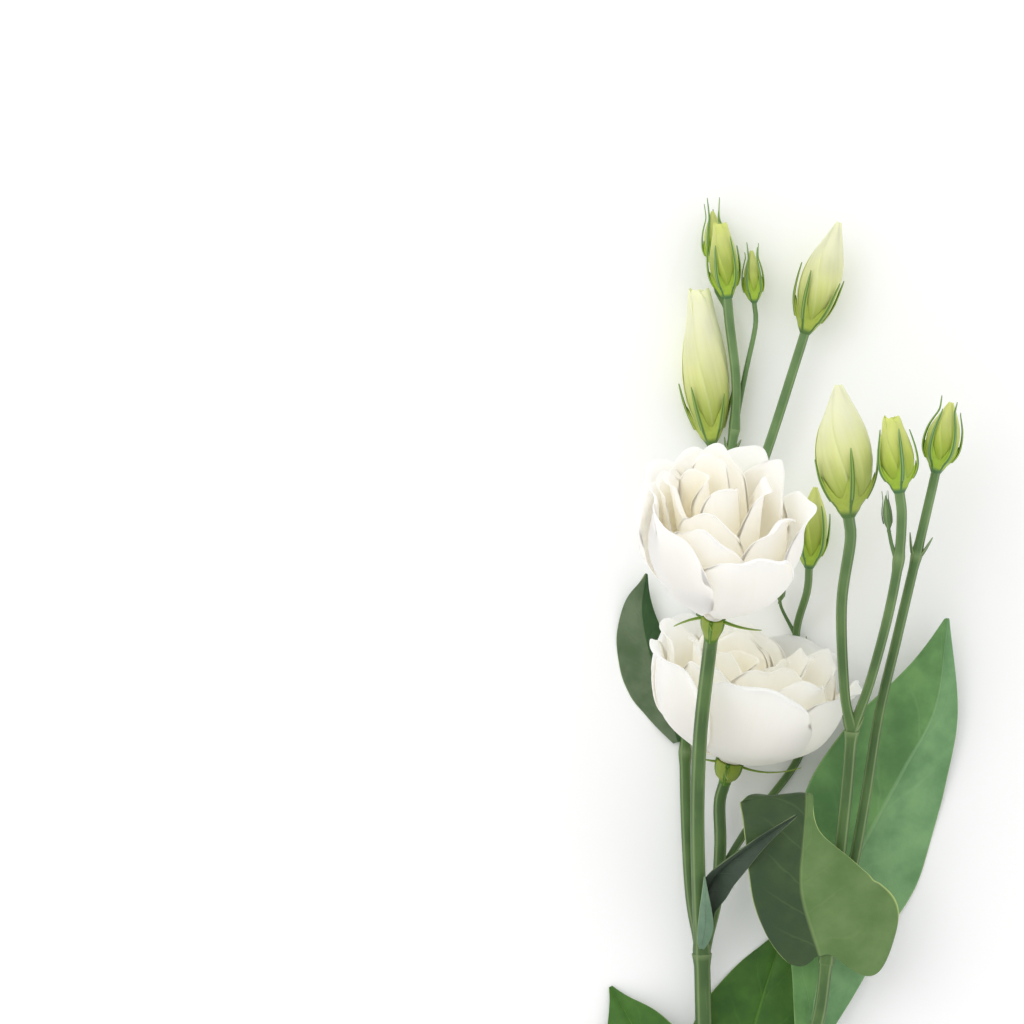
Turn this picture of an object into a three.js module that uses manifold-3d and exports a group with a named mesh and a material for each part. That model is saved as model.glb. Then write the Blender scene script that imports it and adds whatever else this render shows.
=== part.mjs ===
// A cut flowering stem of white double lisianthus, lying on its back: two open blooms, buds and leaves.
// Millimetres. +Z is up from the surface it lies on, and +Y runs from the cut foot to the highest bud.
import * as THREE from "three";
import { mergeVertices } from "three/addons/utils/BufferGeometryUtils.js";
import Module from "manifold-3d";

const wasm = await Module();
wasm.setup();

// Driving dimensions
const petalThickness = 0.7;
const leafThickness = 0.9;
const cupWall = 0.9;
const lobeStart = 0.15; // share of a leaf's half width that its basal lobe leaves free at the midrib
const seatGap = 0.3; // between a stalk, its calyx, the petals above it and a leaf
const stalkSides = 8;
const twigSides = 6; // on a stalk under twigRadius
const twigRadius = 1.75;
const stalkStep = 24; // length of stalk between two sections
const swellingLength = 6;
const jointSwell = 1.28; // how much fatter a stalk is at a joint
const rootSink = 1.4; // how far a side stalk is sunk into the one it leaves
const seatRun = 8; // straight end of a stalk below its calyx
const seatHeight = 0.35; // how far a bloom's seat reaches below its lowest petal
const cupSides = 9;
const seatSides = 10;
const mergeDistance = 1e-3;
const clawShare = 0.35; // width of a petal at its claw, against its full width
const clawReach = 0.45; // share of a petal's length over which the claw widens
const shoulderPower = 2.4; // how square the shoulders of a petal's rim are
const wrapReach = 0.22; // share of a petal's length below which it doesn't wind inwards
const wrap = { petal: 1.6, heart: 2.2 }; // how far one side of a petal winds inside the next
const sepalSpread = 0.3; // how much the sepals of a bud differ in length
const budStep = 0.09; // how far one petal of a bud stands over the next, against the bud's radius
const budTwist = 0.9; // petals by which a bud winds round from its foot to its tip
const frameShift = new THREE.Vector3(-0.62, 0.03, 0); // puts the middle of the footprint at the origin

const colours = {
  petal: "#f6f5f0",
  cream: "#e9edca",
  budGreen: "#b4cb62",
  sepal: "#4d8446",
  stem: "#4c7a42",
  leaf: "#4f7a46",
  darkLeaf: "#2f5a30",
  bract: "#6b8c7c",
};

// Stalks, from where they leave the one below to their calyx, with swollen joints at shares of their length
const stalks = {
  main: { radius: [3.1, 2.7], joints: [0.5, 1], points: [[-24.4, -209.9, 3.1], [-24.4, -168.6, 3.2],
    [-24.4, -127.4, 4.2], [-25.1, -82.8, 7], [-26.1, -42.6, 11]] },
  frontBloom: { radius: [2.4, 2.3], joints: [], points: [[-26.1, -42.6, 11], [-27.4, -23.4, 24],
    [-28.4, 6.3, 43], [-27.7, 32.7, 56.5], [-24.4, 63.4, 63]] },
  lowBloom: { radius: [2.1, 2], joints: [], points: [[-26.1, -42.6, 11], [-21.5, -25.1, 12],
    [-20, -6.9, 12], [-18.5, 14.5, 12.2]] },
  back: { radius: [1.9, 1.6], joints: [0.38, 0.69, 1], points: [[-26.1, -42.6, 11], [-30, -20.1, 5.5],
    [-31.5, 26.1, 1.6], [-28.5, 59.1, 1.8], [-23.4, 81.2, 3.5], [-20.1, 102, 5.5], [-15.2, 132.3, 8.5]] },
  slim: { radius: [1.5, 1.65], joints: [], points: [[-15.2, 132.3, 8.5], [-14.8, 148.2, 13.4],
    [-17.8, 175.9, 15]] },
  longSepal: { radius: [1, 0.9], joints: [], points: [[-15.2, 132.3, 8.5], [-14.2, 150, 6.5],
    [-17, 170, 6], [-21.5, 187, 6]] },
  small: { radius: [0.9, 0.8], joints: [], points: [[-15.2, 132.3, 8.5], [-11.6, 150.7, 10.5],
    [-8.7, 174.6, 12]] },
  tall: { radius: [1.7, 1.6], joints: [], points: [[-23.4, 81.2, 3.5], [-14.2, 98.7, 6], [-4.3, 125.1, 9.5],
    [8.2, 164.3, 12]] },
  creamy: { radius: [1.5, 1.5], joints: [], points: [[-20.9, 98, 5.2], [-23, 113.5, 6.2],
    [-22.9, 127.4, 7.6]] },
  hidden: { radius: [1.3, 1.3], joints: [0.7], points: [[-21.6, -18.5, 12], [-9.2, 1.3, 6], [6.6, 22.8, 2],
    [9.6, 42.6, 1.8], [5.6, 62.4, 2.3], [9.6, 86.1, 11]] },
  right: { radius: [2.3, 2.1], joints: [0.66, 1], points: [[-24.4, -127.4, 4.2], [-16.5, -115.8, 7],
    [-1.7, -94.4, 13], [7.6, -77.5, 18], [12.5, -63, 22], [14.9, -43.2, 27]] },
  fork: { radius: [2.1, 2], joints: [1], points: [[14.9, -43.2, 27], [18.5, -11.9, 33.5], [20.8, 11.2, 39],
    [22.4, 32.7, 44.5]] },
  plump: { radius: [1.6, 1.95], joints: [], points: [[22.4, 32.7, 44.5], [19.8, 45.9, 48.5],
    [18.8, 73.9, 49.5], [21.1, 103, 49]] },
  middle: { radius: [1.6, 1.7], joints: [0.72], points: [[22.4, 32.7, 44.5], [28.1, 48.5, 48],
    [34, 70.6, 50.5], [37.4, 88.8, 51.4], [37.4, 111.2, 56]] },
  outer: { radius: [1.9, 1.55], joints: [0.83], points: [[14.9, -43.2, 27], [23.1, -13.5, 30],
    [27.4, 9.6, 32.5], [31.7, 37.6, 36], [37.3, 62.4, 40], [41.9, 82.8, 44], [49.8, 117.8, 48]] },
  hiddenTwig: { radius: [0.6, 0.5], joints: [], points: [[6, 62.4, 2.3], [1, 71.6, 5.5], [0, 75, 7]] },
  middleTwig: { radius: [0.6, 0.6], joints: [], points: [[36.8, 88.2, 51.2], [35, 94, 53], [34, 99, 53.6]] },
};

// Pairs of small pointed bracts at some of the joints
const bracts = [
  { stalk: "fork", at: 1, length: 5 },
  { stalk: "back", at: 0.69, length: 7 },
  { stalk: "back", at: 0.96, length: 4 },
  { stalk: "hidden", at: 0.7, length: 9 },
  { stalk: "outer", at: 0.83, length: 7 },
];

// How far out and how high a petal stands, from its claw to its rim
const cupLine = [[0.1, 0], [0.4, 0.15], [0.83, 0.37], [1.03, 0.59], [1, 0.82], [1.09, 1]];
const bowlLine = [[0.1, 0], [0.48, 0.1], [0.87, 0.29], [1.02, 0.55], [1.06, 0.82], [1.19, 1]];
const innerLine = [[0.1, 0.02], [0.55, 0.22], [0.88, 0.5], [0.96, 0.8], [1, 1]];

// Five whorls of petals, from the outermost to the heart
function whorlsWith(outerLine, heights, starts, ruffles) {
  const whorls = [
    { count: 5, radius: 1, half: 52, line: outerLine, across: 6, along: 5 },
    { count: 5, radius: 0.83, half: 50, line: outerLine, across: 5, along: 4 },
    { count: 4, radius: 0.64, half: 56, line: innerLine, across: 5, along: 4 },
    { count: 3, radius: 0.41, half: 72, line: innerLine, across: 5, along: 3 },
    { count: 1, radius: 0.19, half: 215, line: innerLine, across: 10, along: 2 },
  ];
  return whorls.map((whorl, number) => ({
    ...whorl, height: heights[number], start: starts[number], ruffle: ruffles[number],
  }));
}

const blooms = [
  { name: "front_bloom", stalk: "frontBloom", lean: 5.5, tilt: 40, seed: 3, cupHeight: 10.5, cupRadius: 3.9,
    radius: 24.5, height: 53, depth: 1, drift: [-15, 3], sepalLength: [10, 5, 16, 8, 9], sepalStart: -172,
    whorls: whorlsWith(cupLine, [0.93, 1, 1.08, 1.14, 1.12], [-142, -104, -100, -50, 30],
      [1.1, 1.3, 1.2, 0.9, 0.5]) },
  { name: "low_bloom", stalk: "lowBloom", lean: 13, tilt: 22, seed: 11, cupHeight: 9, cupRadius: 4.6,
    radius: 30, height: 39.5, depth: 0.76, drift: [-5, 2], sepalLength: [22, 10, 10, 9, 15], sepalStart: -24,
    whorls: whorlsWith(bowlLine, [0.97, 1.02, 1.05, 1.04, 1], [-90, -52, -70, -20, 60],
      [1.3, 1.4, 1.3, 0.9, 0.5]) },
];

// How wide a bud is along its length
const closedLine = [[0, 0.3], [0.06, 0.52], [0.12, 0.7], [0.19, 0.84], [0.28, 0.96], [0.41, 1], [0.54, 0.94],
  [0.65, 0.81], [0.77, 0.58], [0.88, 0.35], [0.96, 0.21], [1, 0.12]];
const openingLine = [[0, 0.3], [0.06, 0.52], [0.12, 0.7], [0.19, 0.84], [0.28, 0.96], [0.4, 1], [0.55, 0.93],
  [0.7, 0.77], [0.85, 0.56], [0.95, 0.44], [1, 0.38]];

// turn says where a bud's first sepal stands, in fifths of a turn from the right
const buds = [
  { name: "plump_bud", stalk: "plump", tip: [17.8, 146.5, 50], radius: 9.7, line: closedLine, cup: 0.16,
    sepal: 0.44, turn: 0.9, colour: "cream", around: 15, along: 8 },
  { name: "middle_bud", stalk: "middle", tip: [34.8, 135.6, 58.4], radius: 6.1, line: openingLine, cup: 0.2,
    sepal: 0.85, turn: 0.92, colour: "budGreen", around: 15, along: 7 },
  { name: "outer_bud", stalk: "outer", tip: [54.8, 140.6, 50], radius: 5.6, line: closedLine, cup: 0.2,
    sepal: 1, turn: 0.22, colour: "budGreen", around: 15, along: 7 },
  { name: "creamy_bud", stalk: "creamy", tip: [-27, 178.9, 12], radius: 8, line: openingLine, cup: 0.12,
    sepal: 0.32, turn: 0.3, colour: "cream", around: 15, along: 7 },
  { name: "tall_bud", stalk: "tall", tip: [19.5, 201, 16], radius: 6.9, line: closedLine, cup: 0.14,
    sepal: 0.5, turn: 0.35, colour: "cream", around: 15, along: 7 },
  { name: "slim_bud", stalk: "slim", tip: [-20.1, 200.6, 17], radius: 4.9, line: openingLine, cup: 0.18,
    sepal: 0.74, turn: 0.3, colour: "budGreen", around: 15, along: 7 },
  { name: "hidden_bud", stalk: "hidden", tip: [11.6, 112.9, 15], radius: 5.3, line: closedLine, cup: 0.18,
    sepal: 0.7, turn: 0.3, colour: "budGreen", around: 10, along: 5 },
  { name: "long_sepal_bud", stalk: "longSepal", tip: [-22.4, 205, 7], radius: 3.2, line: closedLine,
    cup: 0.24, sepal: 1.12, turn: 0.3, colour: "budGreen", around: 10, along: 5 },
  { name: "small_bud", stalk: "small", tip: [-9.6, 191.7, 13], radius: 2.9, line: closedLine, cup: 0.26,
    sepal: 1.1, turn: 0.3, colour: "budGreen", around: 10, along: 5 },
];

// Buds so young that they are one green body with their stalk
const youngBuds = [
  { stalk: "hiddenTwig", tip: [0.6, 82, 8.5], radius: 1.5 },
  { stalk: "middleTwig", tip: [33, 110, 54.4], radius: 1.5 },
];

// Half widths of a leaf along its midrib, as shares of the widest
const ovate = [[0, 0.14], [0.12, 0.5], [0.3, 0.92], [0.45, 1], [0.65, 0.86], [0.82, 0.5],
  [0.93, 0.17], [1, 0.03]];
const narrow = [[0, 0.3], [0.15, 0.8], [0.35, 1], [0.6, 0.72], [0.85, 0.3], [1, 0.06]];
const fullTop = [[0, 0.12], [0.15, 0.3], [0.3, 0.56], [0.45, 0.9], [0.55, 1], [0.67, 0.92], [0.83, 0.7],
  [0.93, 0.26], [1, 0.03]];
const taper = [[0, 0.14], [0.12, 0.5], [0.3, 0.92], [0.45, 1], [0.67, 0.66], [0.83, 0.27], [0.93, 0.12],
  [1, 0.03]];
const broadTop = [[0, 0.45], [0.07, 0.57], [0.15, 0.66], [0.28, 0.7], [0.44, 0.76], [0.56, 0.85],
  [0.68, 0.93], [0.8, 1], [0.88, 0.97], [1, 0.5]];
const broadFoot = [[0, 0.86], [0.07, 0.96], [0.15, 1], [0.28, 0.88], [0.44, 0.76], [0.54, 0.55], [0.62, 0.22],
  [0.7, 0.08], [1, 0.05]];

const leaves = [
  { name: "right_leaf", rib: [[8.6, -76.5, 15], [11.5, -56.4, 13], [18.2, -25.1, 10], [25.4, -10.9, 9.4],
    [40.9, 17.8, 9.4], [52.1, 39.9, 11], [55.4, 69.3, 16]], left: [27, fullTop], right: [25, taper],
    fold: [8, -22], roll: 0, lobe: [0, 0], wave: 0.7, waves: 3, colour: "leaf", along: 10, across: 6 },
  { name: "wavy_leaf", rib: [[12.2, -42.6, 30.5], [6.8, -25.4, 38], [5.6, -15.5, 42], [6.6, -4, 44.5],
    [7.4, 5, 44], [7.8, 12, 39], [7, 10.5, 29]], left: [22.5, broadTop], right: [30.5, broadFoot],
    fold: [-5, -6], roll: 0, lobe: [2, 12.5], wave: 1.1, waves: 3.2, colour: "leaf", along: 11, across: 6 },
  { name: "dark_leaf", rib: [[-24.6, -36.6, 15.6], [-25, -24, 17.5], [-21, -14.6, 30], [-10.5, -5, 46],
    [4, 5.3, 52]], left: [3.5, narrow], right: [8, narrow], fold: [34, 34], roll: -20, lobe: [0, 0],
    wave: 0.2, waves: 2, colour: "darkLeaf", along: 8, across: 4 },
  { name: "front_bract", rib: [[-26.4, -40.8, 15.9], [-25.4, -33, 23], [-25.5, -25, 28.8],
    [-25.8, -15.8, 34.5]], left: [2.6, narrow], right: [3, narrow], fold: [12, 12], roll: 0, lobe: [0, 0],
    wave: 0, waves: 1, colour: "bract", along: 5, across: 2 },
  { name: "left_leaf", rib: [[-33.9, 27.5, 3], [-38.5, 42.6, 4], [-43.9, 59.1, 4.6], [-46, 72.3, 6],
    [-44.5, 84, 9]], left: [12.5, ovate], right: [7, ovate], fold: [-24, -8], roll: 0, lobe: [0, 0],
    wave: 0.4, waves: 2, colour: "darkLeaf", along: 7, across: 4 },
  { name: "foot_leaf_right", rib: [[-20.9, -124, 1.4], [-15, -96, 0.45], [-7, -63, 0.45], [2.3, -33.3, 1.2]],
    left: [22, ovate], right: [22, ovate], fold: [0, 0], roll: 0, lobe: [0, 0], wave: 0.6, waves: 3,
    colour: "leaf", along: 8, across: 6 },
  { name: "foot_leaf_left", rib: [[-27.9, -124.5, 4.6], [-35, -99.3, 7.5], [-46, -72.9, 6.5],
    [-56.4, -54, 1.2]], left: [19, ovate], right: [18, ovate], fold: [-10, 22], roll: 0, lobe: [0, 0],
    wave: 0.6, waves: 3, colour: "leaf", along: 8, across: 6 },
];

const vector = ([x, y, z]) => new THREE.Vector3(x, y, z);
const radians = THREE.MathUtils.degToRad;
const smooth = (x) => THREE.MathUtils.smoothstep(x, 0, 1);

// A fixed draw between 0 and 1 for each whole number.
function draw(number) {
  const wide = Math.sin(number * 12.9898) * 43758.5453;
  return wide - Math.floor(wide);
}

const curveThrough = (points) => new THREE.CatmullRomCurve3(points, false, "catmullrom", 0.5);

// Reads a list of [place, value] at a place between its ends.
function readLine(line, place) {
  const next = line.findIndex(([at]) => at >= place);
  if (next <= 0) return line[next === 0 ? 0 : line.length - 1][1];
  const [[from, low], [to, high]] = [line[next - 1], line[next]];
  return low + ((high - low) * (place - from)) / (to - from);
}

// Lays nothing lower than the surface that the stem lies on.
const press = (point) => point.setZ(Math.max(point.z, 0));

function solidOf(points, triangles) {
  const vertProperties = new Float32Array(points.flatMap((point) => point.toArray()));
  const triVerts = new Uint32Array(triangles.flat());
  return new wasm.Manifold(new wasm.Mesh({ numProp: 3, vertProperties, triVerts }));
}

// A closed body through rings of points, each ring running anticlockwise about the way to the next.
function roundSolid(rings) {
  const sides = rings[0].length;
  const points = rings.flat().map(press);
  const triangles = [];
  for (let ring = 0; ring + 1 < rings.length; ring++) {
    for (let side = 0; side < sides; side++) {
      const here = ring * sides + side;
      const beside = ring * sides + ((side + 1) % sides);
      triangles.push([here, beside, beside + sides], [here, beside + sides, here + sides]);
    }
  }
  for (const [ring, order] of [[0, -1], [rings.length - 1, 1]]) {
    const middle = points.length;
    const sum = rings[ring].reduce((total, point) => total.add(point), new THREE.Vector3());
    points.push(sum.divideScalar(sides));
    for (let side = 0; side < sides; side++) {
      const pair = [ring * sides + side, ring * sides + ((side + 1) % sides)];
      triangles.push([middle, ...(order > 0 ? pair : pair.reverse())]);
    }
  }
  return solidOf(points, triangles);
}

// A blade of even thickness round a grid of points, cut into the same triangles on both faces.
function bladeSolid(grid, thickness) {
  const rows = grid.length;
  const columns = grid[0].length;
  const faces = [[], []];
  for (let row = 0; row < rows; row++) {
    for (let column = 0; column < columns; column++) {
      const [before, after] = [Math.max(column - 1, 0), Math.min(column + 1, columns - 1)];
      const [below, above] = [Math.max(row - 1, 0), Math.min(row + 1, rows - 1)];
      const across = grid[row][after].clone().sub(grid[row][before]);
      const along = grid[above][column].clone().sub(grid[below][column]);
      const half = across.cross(along).setLength(thickness / 2);
      const pair = [grid[row][column].clone().add(half), grid[row][column].clone().sub(half)];
      const lift = Math.max(0, -pair[0].z, -pair[1].z);
      pair.forEach((point, face) => faces[face].push(point.setZ(point.z + lift)));
    }
  }
  const back = rows * columns;
  const at = (row, column) => row * columns + column;
  const triangles = [];
  for (let row = 0; row + 1 < rows; row++) {
    for (let column = 0; column + 1 < columns; column++) {
      const [a, b] = [at(row, column), at(row, column + 1)];
      const [c, d] = [at(row + 1, column + 1), at(row + 1, column)];
      triangles.push([a, b, c], [a, c, d], [a + back, c + back, b + back], [a + back, d + back, c + back]);
    }
  }
  const closeRim = (from, to) => triangles.push([from, from + back, to + back], [from, to + back, to]);
  for (let row = 0; row + 1 < rows; row++) {
    closeRim(at(row, columns - 1), at(row + 1, columns - 1));
    closeRim(at(row + 1, 0), at(row, 0));
  }
  for (let column = 0; column + 1 < columns; column++) {
    closeRim(at(0, column), at(0, column + 1));
    closeRim(at(rows - 1, column + 1), at(rows - 1, column));
  }
  return solidOf(faces.flat(), triangles);
}

const join = (solids) => wasm.Manifold.union(solids);

// The largest body of a solid, with any sealed hollow filled.
function mainBody(solid) {
  return solid.decompose().reduce((best, body) => (body.volume() > best.volume() ? body : best));
}

// Where a stalk has its sections: evenly along it, and three at each joint.
function stalkStations(length, joints) {
  const steps = Math.max(2, Math.round(length / stalkStep));
  const half = swellingLength / 2 / length;
  const even = Array.from({ length: steps + 1 }, (_, step) => ({ share: step / steps, swell: 1 }));
  const clear = even.filter(({ share }) => joints.every((at) => Math.abs(share - at) > half * 1.5));
  const swollen = joints.flatMap((at) => [
    { share: at - half, swell: 1 },
    { share: Math.min(at, 1), swell: jointSwell },
    ...(at < 1 ? [{ share: at + half, swell: 1 }] : []),
  ]);
  return [...clear, ...swollen].sort((one, other) => one.share - other.share);
}

// A stalk that carries a flower ends in a straight run along the flower's axis.
function stalkCurve(name) {
  const points = stalks[name].points.map(vector);
  const carried = flowerOn(name);
  if (carried) points.splice(-1, 0, points.at(-1).clone().addScaledVector(carried.axis, -seatRun));
  return curveThrough(points);
}

function stalkSolid(name, grow = 0, pullBack = seatGap) {
  const { radius, joints } = stalks[name];
  const curve = stalkCurve(name);
  const sides = radius[1] < twigRadius ? twigSides : stalkSides;
  const rings = stalkStations(curve.getLength(), joints).map(({ share, swell }) => {
    const atEnd = share === 1 && flowerOn(name) ? pullBack : 0;
    const back = share === 0 && name !== "main" ? rootSink : atEnd;
    const tangent = curve.getTangentAt(share);
    const frame = frameAlong(curve.getPointAt(share).addScaledVector(tangent, -back), tangent);
    const size = THREE.MathUtils.lerp(radius[0], radius[1], share) * swell + grow;
    return ringIn(frame, size, 0, sides);
  });
  return roundSolid(rings);
}

// A frame with Z along the given way, Y away from whoever looks down on the stem, and X to the right.
function frameAlong(base, way) {
  const axis = way.clone().normalize();
  const away = new THREE.Vector3(0, 0, -1).addScaledVector(axis, axis.z).normalize();
  return new THREE.Matrix4().makeBasis(away.clone().cross(axis), away, axis).setPosition(base);
}

function leanAndTilt(lean, tilt) {
  const [side, lift] = [radians(lean), radians(tilt)];
  return new THREE.Vector3(Math.sin(side) * Math.cos(lift), Math.cos(side) * Math.cos(lift), Math.sin(lift));
}

// A ring of points about a frame's axis.
function ringIn(frame, radius, height, sides) {
  return Array.from({ length: sides }, (_, side) => {
    const angle = (side / sides) * 2 * Math.PI;
    return new THREE.Vector3(radius * Math.cos(angle), radius * Math.sin(angle), height).applyMatrix4(frame);
  });
}

// A body turned about an axis, from a list of [height, radius].
const turnedSolid = (frame, line, sides) =>
  roundSolid(line.map(([height, radius]) => ringIn(frame, radius, height, sides)));

// A slim pointed body with a keel, through points with a half width and a depth at each.
function keeledSolid(stations) {
  return roundSolid(stations.map(({ point, side, out, half, depth }) => [
    point.clone().addScaledVector(side, half),
    point.clone().addScaledVector(out, depth),
    point.clone().addScaledVector(side, -half),
  ]));
}

function petalPoint(bloom, whorl, petal, u, v) {
  const reach = v * (1 - petal.round * Math.abs(u) ** shoulderPower);
  const step = 1 / (whorl.line.length - 1);
  const out = readLine(whorl.line.map(([share], index) => [index * step, share]), reach);
  const up = readLine(whorl.line.map(([, share], index) => [index * step, share]), reach);
  const width = clawShare + (1 - clawShare) * smooth(reach / clawReach);
  const angle = radians(petal.angle + u * whorl.half * width);
  const rim = reach ** 4;
  const wave = petal.waves * u * Math.PI;
  const wound = petal.wrap * u * smooth(reach / wrapReach);
  const radius = bloom.radius * whorl.radius * out + wound
    + rim * (petal.flare + whorl.ruffle * Math.sin(wave + petal.phase));
  const height = bloom.height * petal.height * up
    + rim * 0.6 * whorl.ruffle * Math.cos(1.3 * wave + petal.phase);
  const shift = (1 - whorl.radius) * smooth(reach);
  return new THREE.Vector3(
    radius * Math.cos(angle) + bloom.drift[0] * shift,
    (radius * Math.sin(angle) + bloom.drift[1] * shift) * bloom.depth,
    height,
  );
}

function petalsOf(bloom, whorl, whorlNumber) {
  return Array.from({ length: whorl.count }, (_, number) => {
    const key = bloom.seed * 100 + whorlNumber * 10 + number;
    return {
      angle: whorl.start + (number * 360) / whorl.count + 8 * (draw(key) - 0.5),
      height: whorl.height * (1 + 0.06 * (draw(key + 0.1) - 0.5)),
      round: 0.1 + 0.06 * draw(key + 0.2),
      waves: 1.6 + 1.2 * draw(key + 0.3),
      phase: 2 * Math.PI * draw(key + 0.4),
      flare: 2 * draw(key + 0.5) * whorl.radius,
      wrap: whorl.count > 1 ? wrap.petal : wrap.heart,
    };
  });
}

function bloomSolid(bloom, frame) {
  const petals = bloom.whorls.flatMap((whorl, whorlNumber) =>
    petalsOf(bloom, whorl, whorlNumber).map((petal) => {
      const grid = Array.from({ length: whorl.along + 1 }, (_, row) =>
        Array.from({ length: whorl.across + 1 }, (_, column) =>
          petalPoint(bloom, whorl, petal, (2 * column) / whorl.across - 1, row / whorl.along)
            .applyMatrix4(frame)));
      return bladeSolid(grid, petalThickness);
    }));
  const seatLine = [[-seatHeight, bloom.cupRadius * 0.9], [3, bloom.cupRadius * 1.1], [7, 2.2]];
  const seat = turnedSolid(frame, seatLine, seatSides);
  return mainBody(join([...petals, seat]));
}

function sepalOnBloom(bloom, frame, number) {
  const length = bloom.sepalLength[number];
  const angle = radians(bloom.sepalStart + number * 72 + 12 * (draw(bloom.seed + number) - 0.5));
  const out = new THREE.Vector3(Math.cos(angle), Math.sin(angle), 0);
  const side = new THREE.Vector3(Math.sin(angle), -Math.cos(angle), 0);
  const steps = 4;
  const stations = Array.from({ length: steps + 1 }, (_, step) => {
    const share = step / steps;
    const place = out.clone().multiplyScalar(bloom.cupRadius * 0.6 + length * share);
    place.z = -1.6 - 0.5 * share - 2.5 * share * share * draw(bloom.seed + number + 0.5);
    const fall = new THREE.Vector3(0, 0, -1);
    return { point: place, side, out: fall, half: 1.5 - 1.1 * share, depth: 1 - 0.3 * share };
  });
  const turn = new THREE.Matrix4().extractRotation(frame);
  return keeledSolid(stations.map((station) => ({
    ...station,
    point: station.point.applyMatrix4(frame),
    side: station.side.clone().applyMatrix4(turn),
    out: station.out.applyMatrix4(turn),
  })));
}

function bloomCalyx(bloom, frame, stalkRadius) {
  const foot = -bloom.cupHeight;
  const cup = turnedSolid(frame, [[foot, stalkRadius * 1.15], [foot * 0.8, stalkRadius * 1.3],
    [foot * 0.35, bloom.cupRadius * 0.92], [-seatHeight - seatGap, bloom.cupRadius * 1.05]], cupSides);
  const sepals = bloom.sepalLength.map((_, number) => sepalOnBloom(bloom, frame, number));
  return mainBody(join([cup, ...sepals]));
}

// Five petals lie wrapped one over the next, so a bud's section steps out and back five times.
function budPoint(bud, length, angle, v) {
  const turn = (angle / (2 * Math.PI)) * 5 + budTwist * v;
  const step = (turn - Math.floor(turn)) ** 2;
  const radius = bud.radius * (0.96 * readLine(bud.line, v) + budStep * step * stepShare(v));
  return new THREE.Vector3(radius * Math.cos(angle), radius * Math.sin(angle), v * length);
}

const stepShare = (v) => smooth(v * 4) * (1 - 0.4 * v);

// The radius that clears the petals of a bud all round.
const clearOfBud = (bud, v) => bud.radius * (0.96 * readLine(bud.line, v) + budStep * stepShare(v)) + seatGap;

function budSolid(bud, frame, length) {
  const rings = Array.from({ length: bud.along + 1 }, (_, row) =>
    Array.from({ length: bud.around }, (_, side) =>
      budPoint(bud, length, (side / bud.around) * 2 * Math.PI, row / bud.along).applyMatrix4(frame)));
  return roundSolid(rings);
}

function sepalOnBud(bud, frame, length, number) {
  const angle = ((number + bud.turn) / 5) * 2 * Math.PI;
  const out = new THREE.Vector3(Math.cos(angle), Math.sin(angle), 0);
  const side = new THREE.Vector3(Math.sin(angle), -Math.cos(angle), 0);
  const turn = new THREE.Matrix4().extractRotation(frame);
  const end = bud.sepal * (1 + sepalSpread * (draw(number + bud.radius) - 0.5));
  const root = bud.cup * 0.7;
  const steps = 3;
  const width = Math.min(1.7, bud.radius * 0.27);
  return keeledSolid(Array.from({ length: steps + 1 }, (_, step) => {
    const share = step / steps;
    const v = root + (end - root) * share;
    const spread = clearOfBud(bud, Math.min(v, 0.8)) + 0.2 + 1.4 * share * share;
    return {
      point: out.clone().multiplyScalar(spread).setZ(v * length).applyMatrix4(frame),
      side: side.clone().applyMatrix4(turn),
      out: out.clone().applyMatrix4(turn),
      half: width * (1 - 0.8 * share),
      depth: 0.95 - 0.35 * share,
    };
  }));
}

// A cup open at the top, with the bud standing in it and five sepals on its rim.
function budCalyx(bud, frame, length, stalkRadius) {
  const inside = (v) => clearOfBud(bud, v) / Math.cos(Math.PI / cupSides);
  const [middle, rim] = [bud.cup * 0.5, bud.cup];
  const cup = turnedSolid(frame, [
    [-cupFoot(bud), stalkRadius * 1.15],
    [-seatGap, inside(0.02) + cupWall],
    [middle * length, inside(middle) + cupWall],
    [rim * length, inside(rim) + cupWall * 0.8],
    [rim * length, inside(rim)],
    [middle * length, inside(middle)],
    [-seatGap, inside(0)],
  ], cupSides);
  const sepals = Array.from({ length: 5 }, (_, number) => sepalOnBud(bud, frame, length, number));
  return mainBody(join([cup, ...sepals]));
}

const cupFoot = (bud) => 0.22 * bud.radius + 1;

function bractPair({ stalk, at, length }) {
  const { radius } = stalks[stalk];
  const curve = stalkCurve(stalk);
  const size = THREE.MathUtils.lerp(radius[0], radius[1], at);
  const frame = frameAlong(curve.getPointAt(at), curve.getTangentAt(at));
  const turn = new THREE.Matrix4().extractRotation(frame);
  const steps = 2;
  return [-1, 1].map((hand) => {
    const out = new THREE.Vector3(hand, 0, 0).applyMatrix4(turn);
    const side = new THREE.Vector3(0, -hand, 0).applyMatrix4(turn);
    return keeledSolid(Array.from({ length: steps + 1 }, (_, step) => {
      const share = step / steps;
      const spread = hand * (size * 0.6 + length * 0.4 * share);
      const point = new THREE.Vector3(spread, 0, length * share).applyMatrix4(frame);
      return { point, side, out, half: 1.3 - share, depth: 0.9 - 0.2 * share };
    }));
  });
}

function youngBudSolid({ stalk, tip, radius }) {
  const base = vector(stalks[stalk].points.at(-1));
  const way = vector(tip).sub(base);
  const length = way.length();
  const line = closedLine.map(([v, share]) => [v * length, share * radius]);
  return turnedSolid(frameAlong(base, way), [[-1, stalks[stalk].radius[1]], ...line], twigSides);
}

// The bloom or bud on a stalk, with the way its axis points.
function flowerOn(stalk) {
  const bloom = blooms.find((flower) => flower.stalk === stalk);
  if (bloom) return { ...bloom, axis: leanAndTilt(bloom.lean, bloom.tilt) };
  const bud = buds.find((flower) => flower.stalk === stalk);
  return bud && { ...bud, axis: vector(bud.tip).sub(vector(stalks[stalk].points.at(-1))).normalize() };
}

const stemSolid = () => mainBody(join([
  ...Object.keys(stalks).map((name) => stalkSolid(name)),
  ...bracts.flatMap(bractPair),
  ...youngBuds.map(youngBudSolid),
]));

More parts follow.
